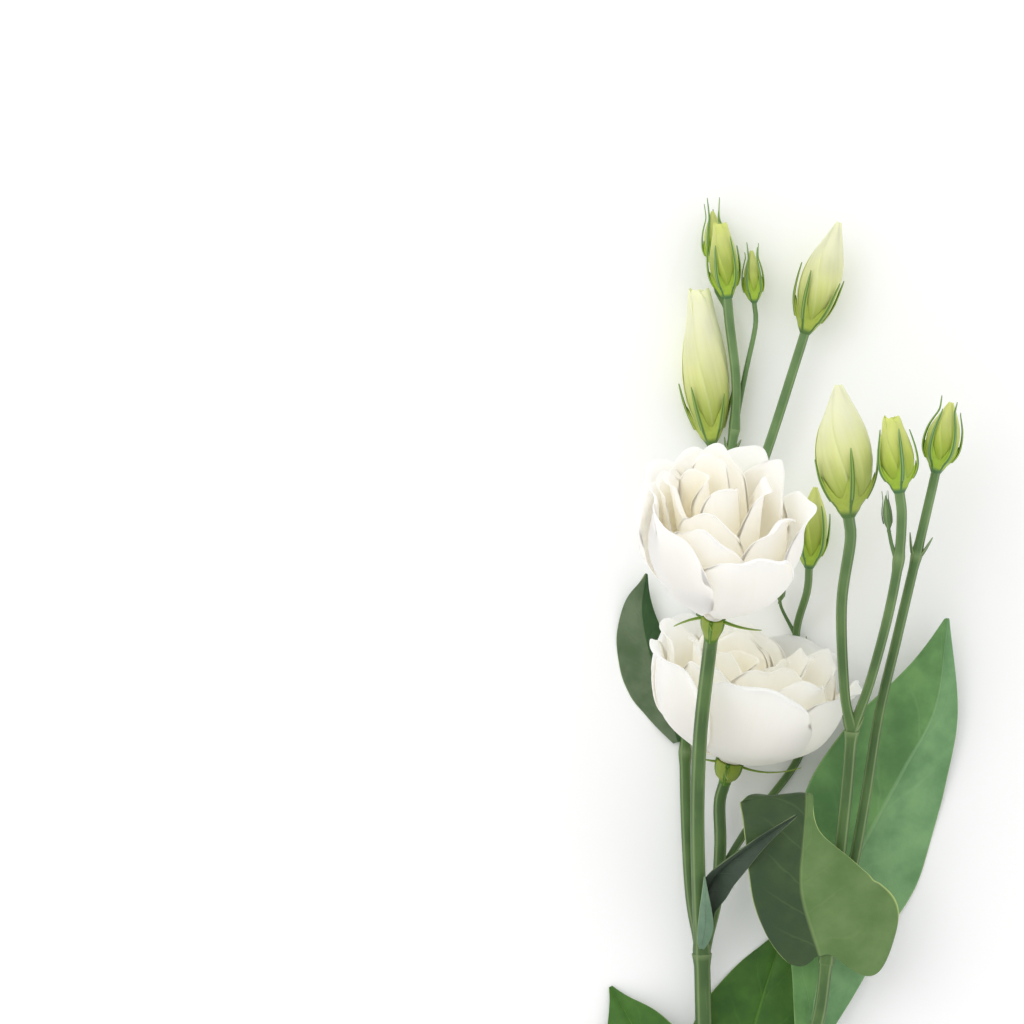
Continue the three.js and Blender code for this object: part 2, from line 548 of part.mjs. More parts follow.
// The stalks a little fatter than they are, to cut a leaf clear of them.
const stemRoom = () => join(Object.keys(stalks).map((name) => stalkSolid(name, seatGap, 0)));

function leafPoint(leaf, rib, u, t) {
  const centre = rib.getPointAt(t);
  const tangent = rib.getTangentAt(t);
  const right = new THREE.Vector3(1, 0, 0).addScaledVector(tangent, -tangent.x).normalize();
  right.applyAxisAngle(tangent, radians(leaf.roll));
  const normal = right.clone().cross(tangent).normalize();
  const [width, outline] = u < 0 ? leaf.left : leaf.right;
  const fold = radians(u < 0 ? leaf.fold[0] : leaf.fold[1]);
  const reach = Math.abs(u) * width * readLine(outline, t);
  const outward = Math.max(0, (Math.abs(u) - lobeStart) / (1 - lobeStart));
  const lobe = leaf.lobe[u < 0 ? 0 : 1] * Math.sin(Math.PI * outward) * (1 - smooth(t / 0.35));
  const wave = leaf.wave * Math.abs(u) ** 3 * Math.sin(2 * Math.PI * leaf.waves * t + (u < 0 ? 1 : 0));
  return centre
    .addScaledVector(right, Math.sign(u) * reach * Math.cos(fold))
    .addScaledVector(normal, reach * Math.sin(fold) + wave)
    .addScaledVector(tangent, -lobe);
}

function leafSolid(leaf) {
  const rib = curveThrough(leaf.rib.map(vector));
  const grid = Array.from({ length: leaf.along + 1 }, (_, row) =>
    Array.from({ length: leaf.across + 1 }, (_, column) =>
      leafPoint(leaf, rib, (2 * column) / leaf.across - 1, row / leaf.along)));
  return bladeSolid(grid, leafThickness);
}

function geometryOf(solid) {
  const { vertProperties, triVerts } = solid.getMesh();
  const geometry = new THREE.BufferGeometry();
  geometry.setAttribute("position", new THREE.BufferAttribute(new Float32Array(vertProperties), 3));
  geometry.setIndex(new THREE.BufferAttribute(new Uint32Array(triVerts), 1));
  return mergeVertices(geometry, mergeDistance);
}

// Drops the scraps that are left where corners closer than the merging distance fall together.
function withoutScraps(solid) {
  const { attributes, index } = geometryOf(solid);
  return mainBody(new wasm.Manifold(new wasm.Mesh({
    numProp: 3, vertProperties: attributes.position.array, triVerts: new Uint32Array(index.array),
  })));
}

function meshOf(name, solid, colour, roughness) {
  const geometry = geometryOf(withoutScraps(solid));
  geometry.computeVertexNormals();
  const material = new THREE.MeshStandardMaterial({ color: colours[colour], roughness, metalness: 0 });
  const mesh = new THREE.Mesh(geometry, material);
  mesh.name = name;
  return mesh;
}

const spray = new THREE.Group();
spray.position.copy(frameShift);
spray.add(meshOf("stem", stemSolid(), "stem", 0.55));
const room = stemRoom();

for (const bloom of blooms) {
  const stalk = stalks[bloom.stalk];
  const axis = leanAndTilt(bloom.lean, bloom.tilt);
  const base = vector(stalk.points.at(-1)).addScaledVector(axis, bloom.cupHeight);
  const frame = frameAlong(base, axis);
  spray.add(meshOf(bloom.name + "_petals", bloomSolid(bloom, frame), "petal", 0.7));
  spray.add(meshOf(bloom.name + "_calyx", bloomCalyx(bloom, frame, stalk.radius[1]), "sepal", 0.55));
}

for (const bud of buds) {
  const stalk = stalks[bud.stalk];
  const foot = vector(stalk.points.at(-1));
  const way = vector(bud.tip).sub(foot);
  const length = way.length() - cupFoot(bud);
  const frame = frameAlong(foot.addScaledVector(way.normalize(), cupFoot(bud)), way);
  spray.add(meshOf(bud.name + "_petals", budSolid(bud, frame, length), bud.colour, 0.6));
  spray.add(meshOf(bud.name + "_calyx", budCalyx(bud, frame, length, stalk.radius[1]), "sepal", 0.55));
}

for (const leaf of leaves) {
  spray.add(meshOf(leaf.name, mainBody(leafSolid(leaf).subtract(room)), leaf.colour, 0.5));
}

export default spray;
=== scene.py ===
import bisect
import math

import bpy
from mathutils import Matrix, Vector, noise


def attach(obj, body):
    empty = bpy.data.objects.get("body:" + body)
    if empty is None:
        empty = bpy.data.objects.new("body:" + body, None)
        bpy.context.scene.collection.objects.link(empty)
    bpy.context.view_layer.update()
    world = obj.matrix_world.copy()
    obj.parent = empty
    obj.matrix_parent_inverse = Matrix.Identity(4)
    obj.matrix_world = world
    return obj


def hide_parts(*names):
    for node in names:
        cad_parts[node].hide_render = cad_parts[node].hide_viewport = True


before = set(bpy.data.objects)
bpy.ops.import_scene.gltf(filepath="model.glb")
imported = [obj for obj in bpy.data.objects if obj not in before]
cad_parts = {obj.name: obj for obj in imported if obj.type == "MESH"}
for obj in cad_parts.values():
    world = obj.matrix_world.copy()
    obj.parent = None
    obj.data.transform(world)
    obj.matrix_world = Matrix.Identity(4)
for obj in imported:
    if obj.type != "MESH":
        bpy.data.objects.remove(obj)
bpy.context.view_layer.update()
print("frame loaded,", len(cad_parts), "nodes")

mm = 0.001
frameShift = Vector((-0.62, 0.03, 0))  # mm, from the routes' own origin to the frame's


# Numbers and curves

def smoothStep(x):
    x = min(max(x, 0), 1)
    return x * x * (3 - 2 * x)


def mix(low, high, share):
    return low + (high - low) * share


def hump(distance, reach):  # 1 in the middle, fading to both sides over about its reach
    return math.exp(-((distance / reach) ** 2))


def draw(number):  # the same draw from 0 to 1 each run
    wide = math.sin(number * 12.9898) * 43758.5453
    return wide - math.floor(wide)


def ripple(*place):  # soft noise from -1 to 1
    return noise.noise(Vector(place))


def throughPoints(points, share):  # a smooth curve through points, at a share of their number
    place = share * (len(points) - 1)
    index = min(max(int(place), 0), len(points) - 2)
    part = place - index
    here, ahead = points[index], points[index + 1]
    before = points[index - 1] if index else 2 * here - ahead
    after = points[index + 2] if index + 2 < len(points) else 2 * ahead - here
    leave, arrive = (ahead - before) / 2, (after - here) / 2
    bend = 3 * (ahead - here) - 2 * leave - arrive
    return here + leave * part + bend * part ** 2 + (2 * (here - ahead) + leave + arrive) * part ** 3


def readLine(line, place):  # reads a list of (place, value), with its corners rounded off
    def straight(x):
        x = min(max(x, line[0][0]), line[-1][0])
        index = min(bisect.bisect_right([at for at, _ in line], x), len(line) - 1)
        (start, low), (end, high) = line[index - 1], line[index]
        return mix(low, high, (x - start) / (end - start))

    room = min(0.04, place - line[0][0], line[-1][0] - place)
    return sum(straight(place + step * room / 2) for step in range(-2, 3)) / 5


def routeThrough(points, samples=240):  # reads a route by the share of its length: place and way
    fine = [throughPoints(points, step / samples) for step in range(samples + 1)]
    lengths = [0]
    for here, ahead in zip(fine, fine[1:]):
        lengths.append(lengths[-1] + (ahead - here).length)

    def at(share):
        wanted = min(max(share, 0), 1) * lengths[-1]
        index = min(bisect.bisect_right(lengths, wanted), samples) - 1
        part = (wanted - lengths[index]) / (lengths[index + 1] - lengths[index])
        way = fine[min(index + 3, samples)] - fine[max(index - 2, 0)]
        return fine[index].lerp(fine[index + 1], part), way.normalized()

    return at, lengths[-1]


def frameAlong(base, way):  # Z along the way, X to the right, Y away from whoever looks down
    axis = way.normalized()
    away = (Vector((0, 0, -1)) + axis * axis.z).normalized()
    right = away.cross(axis)
    return Matrix.Translation(base) @ Matrix((right, away, axis)).transposed().to_4x4()


# Modelling

def select(*pieces):
    bpy.ops.object.select_all(action="DESELECT")
    for piece in pieces:
        piece.select_set(True)
    bpy.context.view_layer.objects.active = pieces[0]


def formedGrid(across, along, place, tone=None, above=0.2):
    # A grid whose points go where place(u, v) says, in mm, and never less than so far above the floor
    bpy.ops.object.select_all(action="DESELECT")
    bpy.ops.mesh.primitive_grid_add(x_subdivisions=across, y_subdivisions=along, size=1)
    piece = bpy.context.active_object
    mesh = piece.data
    shares = [(point.co.x + 0.5, point.co.y + 0.5) for point in mesh.vertices]
    values = []
    for u, v in shares:
        spot = place(u, v) + frameShift
        values += [spot.x * mm, spot.y * mm, max(spot.z, above) * mm]
    mesh.vertices.foreach_set("co", values)
    tones = mesh.attributes.new("tone", "FLOAT", "POINT")
    tones.data.foreach_set("value", [tone(u, v) if tone else 0 for u, v in shares])
    mesh.update()
    return piece


def closeUp(piece):  # joins the two sides of a rolled grid, and each end that runs to a point
    select(piece)
    bpy.ops.object.mode_set(mode="EDIT")
    bpy.ops.mesh.select_all(action="SELECT")
    bpy.ops.mesh.remove_doubles(threshold=1e-6)
    bpy.ops.mesh.normals_make_consistent(inside=False)
    bpy.ops.object.mode_set(mode="OBJECT")
    return piece


def applyModifier(piece, kind, **settings):
    select(piece)
    modifier = piece.modifiers.new(kind.title(), kind)
    for name, value in settings.items():
        setattr(modifier, name, value)
    bpy.ops.object.modifier_apply(modifier=modifier.name)


def thicken(piece, thickness, backMaterial=0):
    applyModifier(piece, "SOLIDIFY", thickness=thickness * mm, offset=0, material_offset=backMaterial)
    applyModifier(piece, "SUBSURF", levels=1, render_levels=1)
    return piece


def sheet(form, place, tone=None, wider=1):  # a thin sheet with the faces and thickness of its form
    return thicken(formedGrid(form["across"] * wider, form["along"], place, tone), form["thickness"])


def around(base, angle, radius, height=0):  # a place about a frame's axis
    return base @ Vector((radius * math.cos(angle), radius * math.sin(angle), height))


def rounded(across, along, place, tone=None):  # a closed body from a rolled grid
    return closeUp(formedGrid(across, along, place, tone, above=0))


def ringShare(v, rings):  # a rolled grid's row as a share of its length, and if it closes an end
    ring = v * (rings + 2) - 1
    return min(max(ring / rings, 0), 1), not -0.5 < ring < rings + 0.5


def turned(base, line, sides, swell=None, tone=None):
    # A closed body turned about a frame's axis, from (radius, height) in mm; swell adds to the radius
    rows = 3 * (len(line) - 1)
    points = [Vector(pair) for pair in line]

    def place(u, v):
        share, closing = ringShare(v, rows)
        radius, height = throughPoints(points, share)
        angle = 2 * math.pi * u
        radius = 0 if closing else radius + (swell(angle, share) if swell else 0)
        return around(base, angle, radius, height)

    return rounded(sides, rows + 2, place, tone)


def standFor(node, material, pieces):  # joins pieces into the one that stands for a node
    select(*pieces)
    if len(pieces) > 1:
        bpy.ops.object.join()
    piece = bpy.context.active_object
    words = node.split("_")
    piece.name = piece.data.name = words[0] + "".join(word.title() for word in words[1:])
    if not piece.data.materials:
        piece.data.materials.append(material)
    bpy.ops.object.shade_smooth_by_angle(angle=math.radians(55))
    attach(piece, "root")
    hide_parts(node)


# Materials

def linearColour(code):  # an sRGB hex value as linear red, green, blue
    shares = [int(code[start:start + 2], 16) / 255 for start in (1, 3, 5)]
    return (*[s / 12.92 if s <= 0.04045 else ((s + 0.055) / 1.055) ** 2.4 for s in shares], 1)


def fill(tree, socket, value):  # gives a socket a link, a hex colour or a number
    if isinstance(value, bpy.types.NodeSocket):
        tree.links.new(value, socket)
    else:
        socket.default_value = linearColour(value) if isinstance(value, str) else value


def addNode(tree, kind, values, output=0):  # adds a node with its settings, numbers and links
    node = tree.nodes.new("ShaderNode" + kind)
    for name, value in values.items():
        if isinstance(name, str) and hasattr(node, name):
            setattr(node, name, value)
        else:
            fill(tree, node.inputs[name], value)
    return node.outputs[output]


def dress(material, surface):  # gives sockets of its shader their values or links
    shader = material.node_tree.nodes["Principled BSDF"]
    for name, value in surface.items():
        fill(material.node_tree, shader.inputs[name], value)
    return material


def newMaterial(name, surface):  # and its node tree
    material = bpy.data.materials.new(name)
    material.use_nodes = True
    return dress(material, surface), material.node_tree


def finished(material, colour, heights, depth):  # with its colour, and a relief so many mm deep
    relief = {"Strength": 1, "Distance": depth * mm, "Height": heights}
    normal = addNode(material.node_tree, "Bump", relief)
    return dress(material, {"Base Color": colour, "Normal": normal})


def painted(tree, base, *coats):
    # Lays coats over a base colour, each a colour and its mask. Numbers after the mask make it rise
    # smoothly: its values from and to, and where they aren't 0 and 1, the strengths from and to
    for colour, mask, *reach in coats:
        if reach:
            rise = {"interpolation_type": "SMOOTHSTEP", 0: mask} | dict(enumerate(reach, 1))
            mask = addNode(tree, "MapRange", rise)
        base = addNode(tree, "Mix", {"data_type": "RGBA", 0: mask, 6: base, 7: colour}, 2)
    return base


def patterned(tree, source, scale, detail):
    place = addNode(tree, "TexCoord", {}, source)
    place = addNode(tree, "Mapping", {"Vector": place, "Scale": scale})
    return addNode(tree, "TexNoise", {"Vector": place, "Scale": 1, "Detail": detail, "Roughness": 0.55})


def streaksOf(tree, across, along):  # long streaks, so many over the width and length of a piece's map
    return patterned(tree, "UV", (across, along, 1), 4)


def patchesOf(tree, size, detail=3):  # soft patches about size mm wide
    return patterned(tree, "Object", (1 / (size * mm),) * 3, detail)


def placesOnMap(tree):  # across and along a piece's own map, each from 0 to 1
    split = addNode(tree, "SeparateXYZ", {0: addNode(tree, "TexCoord", {}, "UV")}).node
    return split.outputs[0], split.outputs[1]


def petalMaterial():
    # Lisianthus petal: thin, soft and slightly see-through, with faint veins that fan out from the
    # claw. A small even glow stands for the light that layers of petals pass on into the folds
    material, tree = newMaterial("whitePetal", {
        "Roughness": 0.6, "IOR": 1.4, "Specular IOR Level": 0.25, "Sheen Weight": 0.1,
        "Sheen Roughness": 0.4, "Subsurface Weight": 0.8, "Subsurface Radius": (1, 1, 0.95),
        "Subsurface Scale": 3 * mm, "Emission Color": "#fcefd0", "Emission Strength": 0.014})
    tone = addNode(tree, "Attribute", {"attribute_name": "tone"}, "Fac")  # written by formedGrid
    veins = streaksOf(tree, 22, 1.2)
    colour = painted(tree, "#fffefa", ("#fefae8", tone), ("#f7f4ea", veins, 0.5, 0.8, 0, 0.3))
    return finished(material, colour, veins, 0.1)


def budMaterial(name, foot, middle, tip, edge):
    # Bud petal: firmer than an open one, green at the foot and paling upwards, its free edge the palest
    material, tree = newMaterial(name, {
        "Roughness": 0.48, "IOR": 1.4, "Specular IOR Level": 0.35, "Sheen Weight": 0.08,
        "Subsurface Weight": 0.3, "Subsurface Radius": (0.9, 1, 0.45), "Subsurface Scale": 1.5 * mm})
    across, along = placesOnMap(tree)
    streaks = streaksOf(tree, 16, 2)
    height = addNode(tree, "Math", {"operation": "MULTIPLY_ADD", 0: streaks, 1: 0.22, 2: along})
    colour = painted(tree, foot, (middle, height, 0.14, 0.62), (tip, height, 0.45, 1),
                     (edge, across, 0.93, 1, 0, 0.15))
    return finished(material, colour, streaks, 0.12)


def calyxMaterial(name, membrane, flank, keel):
    # Sepal: thin yellow-green skin that lets light through, drawn up round a firm dark keel. The keel
    # colour, lighter than the flank, is a highlight painted along the crests of keels and ribs; it is
    # also the bloom cup's own green at its foot
    material, tree = newMaterial(name, {
        "Roughness": 0.45, "IOR": 1.42, "Specular IOR Level": 0.4,
        "Subsurface Weight": 0.15, "Subsurface Radius": (0.5, 1, 0.2), "Subsurface Scale": 1 * mm})
    tone = addNode(tree, "Attribute", {"attribute_name": "tone"}, "Fac")
    patches = patchesOf(tree, 1.6)
    # keel: a painted highlight on keel and rib crests, and the bloom cup foot's own green
    colour = painted(tree, membrane, (flank, patches, 0.45, 0.95, 0, 0.3), (flank, tone, 0.25, 0.65),
                     (keel, tone, 0.8, 1))
    return finished(material, colour, patches, 0.08)


def stalkMaterial():
    # Green stalk: smooth waxy skin, greyer and lighter on the upper twigs, with fine streaks along it
    # and a thin pale line painted on each ridge as a highlight
    material, tree = newMaterial("waxyStalk", {
        "Roughness": 0.45, "IOR": 1.45, "Specular IOR Level": 0.35,
        "Subsurface Weight": 0.08, "Subsurface Radius": (0.4, 1, 0.2), "Subsurface Scale": 1 * mm})
    tone = addNode(tree, "Attribute", {"attribute_name": "tone"}, "Fac")
    streaks = streaksOf(tree, 14, 0.9)
    patches = patchesOf(tree, 16, detail=2)
    height = addNode(tree, "SeparateXYZ", {0: addNode(tree, "TexCoord", {}, "Object")}, 1)
    lower = painted(tree, "#435f33", ("#53703c", patches, 0.3, 0.7))
    upper = painted(tree, "#5a7949", ("#708d5a", patches, 0.3, 0.7))
    # The last coat is as pale as tone says: on the ridges it is a painted highlight; it also pales the
    # joints, the cut pith, the bracts' edges and the young buds' ribs
    colour = painted(tree, lower, (upper, height, 30 * mm, 130 * mm),
                     ("#7e9a60", streaks, 0.52, 0.85, 0, 0.3), ("#a9bd86", tone))
    return finished(material, colour, streaks, 0.12)


leafSkin = {
    "veins": 6,  # side veins on each half of a leaf
    "lean": 0.2,  # share of the length by which a side vein runs up on its way to the margin
    "wander": 0.07,  # and by which it strays
    "sideVein": 0.3,  # how clear it is against the midrib
    "veinShare": 0.3,  # how much of the vein colour shows
    # a highlight painted along the leaf's margin, where light catches the edge
    "rimHighlight": "#b3c47c",
    "patches": 14, "grain": 0.9,  # mm across
    "depth": 0.2,  # mm that the veins are sunk
}


def leafMaterial(name, vein, glow, left, right=None, glowShare=0.3, edge=0.35):
    # Lisianthus leaf: fleshy, matt and slightly waxy, with soft lighter patches, the brightest painted
    # as light glowing through the leaf, faint sunk veins and a thin pale margin painted as a rim
    # highlight; left and right hold a darker and a lighter green for each side of the midrib, and a side
    # that lies in shade is painted in darker greens
    material, tree = newMaterial(name, {
        "Roughness": 0.5, "IOR": 1.45, "Specular IOR Level": 0.32, "Sheen Weight": 0.06,
        "Subsurface Weight": 0.1, "Subsurface Radius": (0.4, 1, 0.2), "Subsurface Scale": 1.2 * mm})
    skin = leafSkin
    across, along = placesOnMap(tree)
    patches = patchesOf(tree, skin["patches"], detail=4)
    grain = patchesOf(tree, skin["grain"], detail=2)

    # Side veins leave the midrib at even steps, bend up and fade before they reach the margin
    side = addNode(tree, "Math", {"operation": "MULTIPLY_ADD", 0: across, 1: 2, 2: -1})
    side = addNode(tree, "Math", {"operation": "ABSOLUTE", 0: side})
    bent = addNode(tree, "Math", {"operation": "POWER", 0: side, 1: 0.8})
    bent = addNode(tree, "Math", {"operation": "MULTIPLY_ADD", 0: bent, 1: -skin["lean"], 2: along})
    bent = addNode(tree, "Math", {"operation": "MULTIPLY_ADD", 0: patches, 1: skin["wander"], 2: bent})
    step = 0.5 / skin["veins"]
    nearness = addNode(tree, "Math", {"operation": "PINGPONG", 0: bent, 1: step})
    rises = ((nearness, 0.88 * step, step, 0, skin["sideVein"]), (side, 0.3, 0.9, 1, 0),
             (side, 0.01, 0.045, 1, 0))
    sideVein, fade, midrib = [
        addNode(tree, "MapRange", {"interpolation_type": "SMOOTHSTEP"} | dict(enumerate(rise)))
        for rise in rises]
    sideVein = addNode(tree, "Math", {"operation": "MULTIPLY", 0: sideVein, 1: fade})
    veins = addNode(tree, "Math", {"operation": "MAXIMUM", 0: midrib, 1: sideVein})
    shown = addNode(tree, "Math", {"operation": "MULTIPLY", 0: veins, 1: skin["veinShare"]})

    # Each half's greens; the wavy leaf's left half and the shaded leaf's right half are painted shade
    halves = [painted(tree, dark, (light, patches, 0.3, 0.7)) for dark, light in (left, right or left)]
    colour = painted(tree, halves[0], (halves[1], across, 0.49, 0.51),
                     # glow: light shining through the leaf, painted on its brightest patches
                     (glow, patches, 0.55, 0.85, 0, glowShare), (vein, shown),
                     # the margin's painted rim highlight, as strong as edge says
                     (skin["rimHighlight"], side, 0.972, 0.995, 0, edge))
    heights = addNode(tree, "Math", {"operation": "MULTIPLY", 0: grain, 1: 0.3})
    heights = addNode(tree, "Math", {"operation": "SUBTRACT", 0: heights, 1: veins})
    return finished(material, colour, heights, skin["depth"])


materials = {material.name: material for material in (
    petalMaterial(),
    budMaterial("creamBud", "#9cb040", "#dfe595", "#f2f5c4", "#f5f6d2"),
    budMaterial("greenBud", "#93b030", "#b4c653", "#d3dd7c", "#e2e89c"),
    calyxMaterial("creamCalyx", "#a6b84e", "#56783e", "#8aa552"),
    calyxMaterial("greenCalyx", "#9cba3a", "#4d7548", "#86a466"),
    calyxMaterial("bloomCalyx", "#879a3a", "#4c7423", "#7b9a40"),
    stalkMaterial(),
    leafMaterial("broadLeaf", "#9cbf8d", "#84ad5e", ("#537d47", "#6c985a"), ("#5f8a59", "#7aa370")),
    leafMaterial("footLeaf", "#6c9a3a", "#4f9226", ("#315c1a", "#477324")),
    # its left half is painted darker, as shade
    leafMaterial("wavyLeaf", "#8ba366", "#74935a", ("#30472a", "#3f552f"), ("#58763f", "#6a8650"),
                 glowShare=0.2, edge=0.8),
    # its right half is painted darker, as shade
    leafMaterial("shadedLeaf", "#6c8a5a", "#3f6a30", ("#4a603e", "#66775a"), ("#25441f", "#33552b"),
                 glowShare=0.2),
    leafMaterial("greyLeaf", "#5f725a", "#465a42", ("#2b3a2c", "#384838"), glowShare=0.2, edge=0.15),
    leafMaterial("waxyBract", "#9cb49a", "#8fab90", ("#66856c", "#7d9a80"), ("#5d7c62", "#738f76"),
                 edge=0.2),
    leafMaterial("leafUnderside", "#a0b585", "#86a372", ("#5f8050", "#779668")),
)}
print("materials made,", len(materials))


# The blooms: five whorls of petals, from the outermost to the heart

petalForm = {
    "thickness": 0.4, "across": 22, "along": 22,  # mm, and faces over its width and length
    "claw": 0.35,  # width at the claw against the full width
    "clawReach": 0.45,  # share of the length over which it widens
    "shoulder": 2.4,  # how square the rim's shoulders are
    "round": (0.3, 0.36),  # share of the length by which they fall, least and most
    "pinch": 0.17,  # how much narrower a petal is at its rim, which rounds its corners
    "turnSpread": 8,  # degrees by which the petals of a whorl differ in place
    "heightSpread": 0.06,  # and the share by which they differ in height
    "wrap": 1.6,  # mm that one side of a petal stands out, and the other in, so that they overlap
    "heartWrap": 2.2,  # the same for the heart, which winds over itself
    "wrapReach": 0.22,  # share of the length over which that grows
    "rimStart": 2.4,  # how late along a petal the waves of its rim set in
    "waves": (1.6, 2.8),  # waves of a rim, fewest and most
    "ruffle": 1.35,  # how much livelier they are than in the solids
    "waveRise": 0.6,  # how much they go up and down against in and out
    "flare": 2,  # mm that a rim leans out at most
    "tuck": 0.55,  # half widths from a petal's middle to where it lies wholly under the next
    "tuckedFlare": 0.3, "tuckedRoll": 0.15,  # how much the rim still leans out and rolls there
    "rollStart": 0.8,  # share of the length at which the rim begins to roll outwards
    "rollSize": 3,  # mm, the roll's radius on the outermost petals
    "rollTurn": (0.8, 2.6),  # radians that a rim rolls, least and most
    "cornerRoll": 0.35,  # how much of that is left at the corners
    "innerRoll": 0.6,  # how much of it the inner petals roll
    "stretch": 1.12,  # makes up for the height that the roll takes
    "sideLean": 1.2,  # mm that a petal's outer side edge leans back onto the next petal
    "leanStart": 0.75,  # share of the half width from which it does
    "crinkle": 0.6,  # mm, short folds along the rim
    "dent": 0.8,  # mm, soft hollows in the face
    "frillPlace": -0.2, "frillReach": 0.2,  # half widths: where a frilled rim stands out, and how wide
    "nick": 0.035,  # share of the length by which the rim is uneven
}

profiles = {
    "cup": [(0.1, 0), (0.4, 0.15), (0.83, 0.37), (1.03, 0.59), (1, 0.82), (1.09, 1)],
    "bowl": [(0.1, 0), (0.48, 0.1), (0.87, 0.29), (1.02, 0.55), (1.06, 0.82), (1.19, 1)],
    "inner": [(0.1, 0.02), (0.55, 0.22), (0.88, 0.5), (0.96, 0.8), (1, 1)],
}

# In mm and degrees, and whorl by whorl from the outermost where there are five values; shaped makes
# one petal's rim stand out in a place (frill), lean out (flare) or end higher (rise)
blooms = [
    {"name": "front_bloom", "lean": 5.5, "tilt": 40, "seed": 3, "cupHeight": 10.5, "cupRadius": 3.9,
     "radius": 24.5, "height": 53, "depth": 1, "drift": (-15, 3), "profile": "cup",
     "sepalLength": (10, 5, 16, 8, 9), "sepalLift": (-8, 0, 2, 0, 0), "sepalStart": -172,
     "starts": (-142, -104, -100, -50, 30), "ruffles": (1.1, 1.3, 1.2, 0.9, 0.5),
     "heights": (0.93, 1, 1.08, 1.14, 1.12), "shaped": {300: {"rise": 5, "flare": -1},
     302: {"frill": 1.6, "flare": -1.5}, 312: {"flare": 4}}},
    {"name": "low_bloom", "lean": 13, "tilt": 22, "seed": 11, "cupHeight": 9, "cupRadius": 4.6,
     "radius": 30, "height": 39.5, "depth": 0.76, "drift": (-5, 2), "profile": "bowl",
     "sepalLength": (22, 10, 10, 9, 15), "sepalLift": (5.5, 0, 0, 0, 0), "sepalStart": -24,
     "starts": (-90, -52, -70, -20, 60), "ruffles": (1.3, 1.4, 1.3, 0.9, 0.5),
     "heights": (0.97, 1.02, 1.05, 1.04, 1), "shaped": {1101: {"frill": 4}}},
]

# Petals, their radius against the bloom's, half a petal's width in degrees, and a profile of their own
whorls = [(5, 1, 52, None), (5, 0.83, 50, None), (4, 0.64, 56, "inner"), (3, 0.41, 72, "inner"),
          (1, 0.19, 215, "inner")]


def bloomAxis(bloom):
    side, lift = math.radians(bloom["lean"]), math.radians(bloom["tilt"])
    return Vector((math.sin(side) * math.cos(lift), math.cos(side) * math.cos(lift), math.sin(lift)))


def petalPlace(bloom, number, index, base):
    form = petalForm
    count, share, half, ownProfile = whorls[number]
    profile = [Vector(pair) for pair in profiles[ownProfile or bloom["profile"]]]
    key = bloom["seed"] * 100 + number * 10 + index
    shaped = bloom["shaped"].get(key, {})
    middle = bloom["starts"][number] + index * 360 / count
    middle += form["turnSpread"] * (draw(key) - 0.5)
    tall = bloom["height"] * bloom["heights"][number]
    tall *= 1 + form["heightSpread"] * (draw(key + 0.1) - 0.5)
    fall = mix(*form["round"], draw(key + 0.2))
    waves = mix(*form["waves"], draw(key + 0.3))
    phase = 2 * math.pi * draw(key + 0.4)
    flare = form["flare"] * draw(key + 0.5) * share + shaped.get("flare", 0)
    rollTurn = mix(*form["rollTurn"], draw(key + 0.6)) * (form["innerRoll"] if number else 1)
    wrap = form["wrap"] if count > 1 else form["heartWrap"]
    ruffle = bloom["ruffles"][number] * form["ruffle"]
    finer = share ** 0.5  # smaller rolls and folds towards the heart

    def place(u, v):
        u = 2 * u - 1
        uneven = form["nick"] * ripple(u * 3.1, key, 0.5)
        shape = 1 - fall * abs(u) ** form["shoulder"] + uneven * v ** 3
        reach = min(v, form["rollStart"]) * shape * form["stretch"]
        out, up = throughPoints(profile, reach)
        width = mix(form["claw"], 1, smoothStep(reach / form["clawReach"]))
        width *= 1 - form["pinch"] * v ** 7
        angle = math.radians(middle + u * half * width)
        rim = (v * shape) ** form["rimStart"]
        wave = waves * u * math.pi
        free = smoothStep(u / form["tuck"] + 1)  # 0 where a petal lies under the next
        radius = bloom["radius"] * share * out
        radius += wrap * u * smoothStep(reach / form["wrapReach"])
        radius += rim * (flare + ruffle * math.sin(wave + phase)) * mix(form["tuckedFlare"], 1, free)
        radius += rim * shaped.get("frill", 0) * hump(u - form["frillPlace"], form["frillReach"])
        outer = smoothStep((u - form["leanStart"]) / (1 - form["leanStart"]))
        radius -= form["sideLean"] * finer * outer * smoothStep(reach * 2)
        radius += form["crinkle"] * finer * rim * rim * ripple(u * 6, key, v * 3)
        radius += form["dent"] * finer * (1 - 0.7 * u * u) * ripple(u * 1.7, v * 2.3, key)
        lift = shaped.get("rise", 0) + form["waveRise"] * ruffle * math.cos(1.3 * wave + phase)
        turn = rollTurn * max(0, v - form["rollStart"]) / (1 - form["rollStart"])
        turn *= mix(form["tuckedRoll"], 1, free) * mix(1, form["cornerRoll"], abs(u) ** 4)
        radius += form["rollSize"] * finer * (1 - math.cos(turn))
        height = tall * up + rim * lift + form["rollSize"] * finer * math.sin(turn)
        shift = (1 - share) * smoothStep(reach)
        return base @ Vector((
            radius * math.cos(angle) + bloom["drift"][0] * shift,
            (radius * math.sin(angle) + bloom["drift"][1] * shift) * bloom["depth"], height))

    def tone(u, v):  # creamier towards the heart and the claw
        return min(1, 0.55 * (1 - share) + 0.8 * (1 - v) ** 3)

    return place, tone


sepalForm = {
    "thickness": 0.3, "across": 6, "along": 14,
    "half": 0.8, "tipHalf": 0.08,  # mm, half its width at the root and the tip
    "keel": 0.4,  # mm that its middle stands out below
    "root": 0.6,  # where it begins, as a share of the cup's radius
    "seat": -1.4,  # mm, its height there against the petals' foot
    "turnSpread": 12,  # degrees by which the sepals differ in place
    "rise": 0.16,  # how steeply it follows the petals' underside outwards
    "bow": 3.2,  # mm that it curves to one side at most
    "droop": 1.5,  # mm that its tip hangs at most
}

